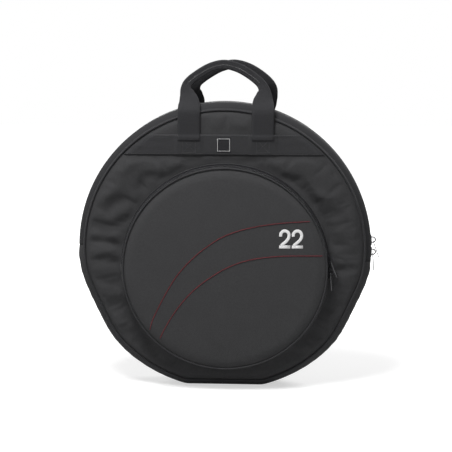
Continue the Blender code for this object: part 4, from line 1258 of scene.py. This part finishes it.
TALL, BROAD, STROKE, PRINT_LIFT = 0.0385, 0.0225, 0.0060, 0.00022
DIGIT_BASE, DIGIT_PLACES = 0.3020, (0.1128, 0.1380)
pieces = []
for place in DIGIT_PLACES:
    middle = place + BROAD / 2
    path = two_centre_line(BROAD - STROKE, TALL - STROKE)
    path = smooth_rows(path, 3) + np.array([middle, DIGIT_BASE + STROKE / 2])
    foot = np.array([[middle - BROAD / 2, DIGIT_BASE], [middle + BROAD / 2, DIGIT_BASE]])
    pieces.append(print_piece("number_print", *stroke(path, STROKE / 2)))
    pieces.append(print_piece("number_print", foot + np.array([0, STROKE]), foot))
bpy.context.view_layer.update()
bm = bmesh.new()
for piece in pieces:
    bm.from_mesh(piece.data)
    bpy.data.objects.remove(piece, do_unlink=True)
mesh = bpy.data.meshes.new("number_print")
bm.to_mesh(mesh)
bm.free()
mesh.materials.append(PRINT)
number = link_mesh("number_22", mesh)
mesh.shade_smooth()
finished(number, "bag", "label")

# %% [markdown]
# ## Stitches
#
# Stitching is what makes sewn work look sewn. Each stitch is a short plump bead of
# thread, and Geometry Nodes count them out along a path at an even pitch, each turned to
# follow it.

# %% Stitch tree
tree, given, result = new_tree("stitch_line", [
    ("Pitch", "Float", 0.0035), ("Length", "Float", 0.0026), ("Thread", "Float", 0.0004),
    ("Material", "Material", None),
])
line = add_node(tree, "GeometryNodeMeshToCurve", {"Mesh": given["Geometry"]}).outputs[0]
inputs = {"Curve": line, "Length": given["Pitch"]}
dots = add_node(tree, "GeometryNodeCurveToPoints", inputs, mode="LENGTH").outputs
bead = add_node(tree, "GeometryNodeMeshUVSphere", {"Segments": 6, "Rings": 5, "Radius": 1.0}).outputs[0]
half = math_node(tree, "MULTIPLY", given["Length"], 0.5)
scale = xyz_node(tree, X=given["Thread"], Y=given["Thread"], Z=half)
beads = set_on_points(tree, dots["Points"], transformed(tree, bead, Scale=scale), dots["Rotation"])
soft = add_node(tree, "GeometryNodeSetShadeSmooth", {"Geometry": beads}).outputs[0]
STITCH_TREE = give_material(tree, soft, given["Material"], result)


def stitch_line(
    name, paths, body="bag", material=THREAD, pitch=0.0036, length=0.0028, thread=0.00042, slot="webbing"
):
    """Stitches along one or more open paths, as one piece."""
    verts, edges = [], []
    for path in paths:
        first = len(verts)
        verts += [tuple(p) for p in path]
        edges += [(first + n, first + n + 1) for n in range(len(path) - 1)]
    mesh = bpy.data.meshes.new(name)
    mesh.from_pydata(verts, edges, [])
    values = {"Pitch": pitch, "Length": length, "Thread": thread, "Material": material}
    return finished(run_tree(name, STITCH_TREE, values, mesh), body, slot)


def along_corners(corners):
    """Points along the straight runs between corners."""
    found = []
    for (x0, z0), (x1, z1) in zip(corners, corners[1:]):
        shares = np.linspace(0, 1, 12, endpoint=False)
        found += [(x0 + (x1 - x0) * s, z0 + (z1 - z0) * s) for s in shares]
    return found + [corners[-1]]


# %% Stitches on the rim and the pocket
def arc_path(radius, depth, start, end, centre):
    return [row[0] for row in turned_rows([(radius, depth)], start, end, 200, centre)]


paths = []
for sign in (-1, 1):
    for off in (0.0100, 0.0330):
        radius = float(rim_radius(off)) + 0.0004
        paths.append(arc_path(radius, sign * off, ZIP_START + 1.5, ZIP_END - 1, CENTRE))
stitch_line("rim_stitches", paths, slot="nylon")
paths = [
    arc_path(*slope_point(sign * 0.0098, 0.0004), POCKET_ZIP_START + 1, POCKET_ZIP_END - 1, POCKET)
    for sign in (-1, 1)
]
stitch_line("pocket_wall_stitches", paths, slot="nylon")

# %% Stitches on the bands
def on_band(tree, x, z, sign, lift):
    hit = tree.ray_cast(Vector((x, sign * 0.2, z)), Vector((0, -sign, 0)))
    return Vector((x, hit[0].y + sign * lift, z)) if hit[0] else None


BOX_HALF, BOX_LOW, BOX_HIGH = 0.0125, 0.0055, 0.0315
BOX = [
    (-BOX_HALF, BOX_LOW), (BOX_HALF, BOX_LOW), (BOX_HALF, BOX_HIGH), (-BOX_HALF, BOX_HIGH),
    (-BOX_HALF, BOX_LOW), (BOX_HALF, BOX_HIGH),
]
CROSS = [(BOX_HALF, BOX_LOW), (-BOX_HALF, BOX_HIGH)]
graph = bpy.context.evaluated_depsgraph_get()
for side, sign in (("front", -1), ("back", 1)):
    surface = BVHTree.FromObject(bands[side], graph)
    flat_paths = []
    for z in (BAND_LOW + 0.0025, BAND_HIGH - 0.0025):
        limit = math.sqrt(BAND_STITCH_REACH**2 - (z - CENTRE.z) ** 2)
        flat_paths.append([(x, z) for x in np.linspace(-limit, limit, 160)])
    for leg in (-LEG_X, LEG_X):
        for corners in (BOX, CROSS):
            fine = along_corners(corners)
            flat_paths.append([(STRAP_X + leg + x, BAND_LOW + z) for x, z in fine])
    paths = []
    for path in flat_paths:
        found = [on_band(surface, x, z, sign, 0.0002) for x, z in path]
        paths.append([p for p in found if p])
    stitch_line(f"band_stitches_{side}", paths)

# %% Stitches on the grips and the patch
for name, lines in (("front", front_lines), ("back", back_lines)):
    path = [p + w * 0.0006 + o * 0.0039 for p, w, o, fold in lines if fold > 0.97]
    stitch_line(f"grip_stitches_{name}", [path], f"{name}_handle", GREY_THREAD, thread=0.0005)
reach = 0.0122
frame_corners = [(-reach, -reach), (reach, -reach), (reach, reach), (-reach, reach), (-reach, -reach)]
path = [(x, PATCH_FACE - 0.0001, PATCH_Z + z) for x, z in along_corners(frame_corners)]
stitch_line(
    "patch_stitches", [path], material=PALE_THREAD, pitch=0.0019, length=0.0018, thread=0.0006, slot="label"
)
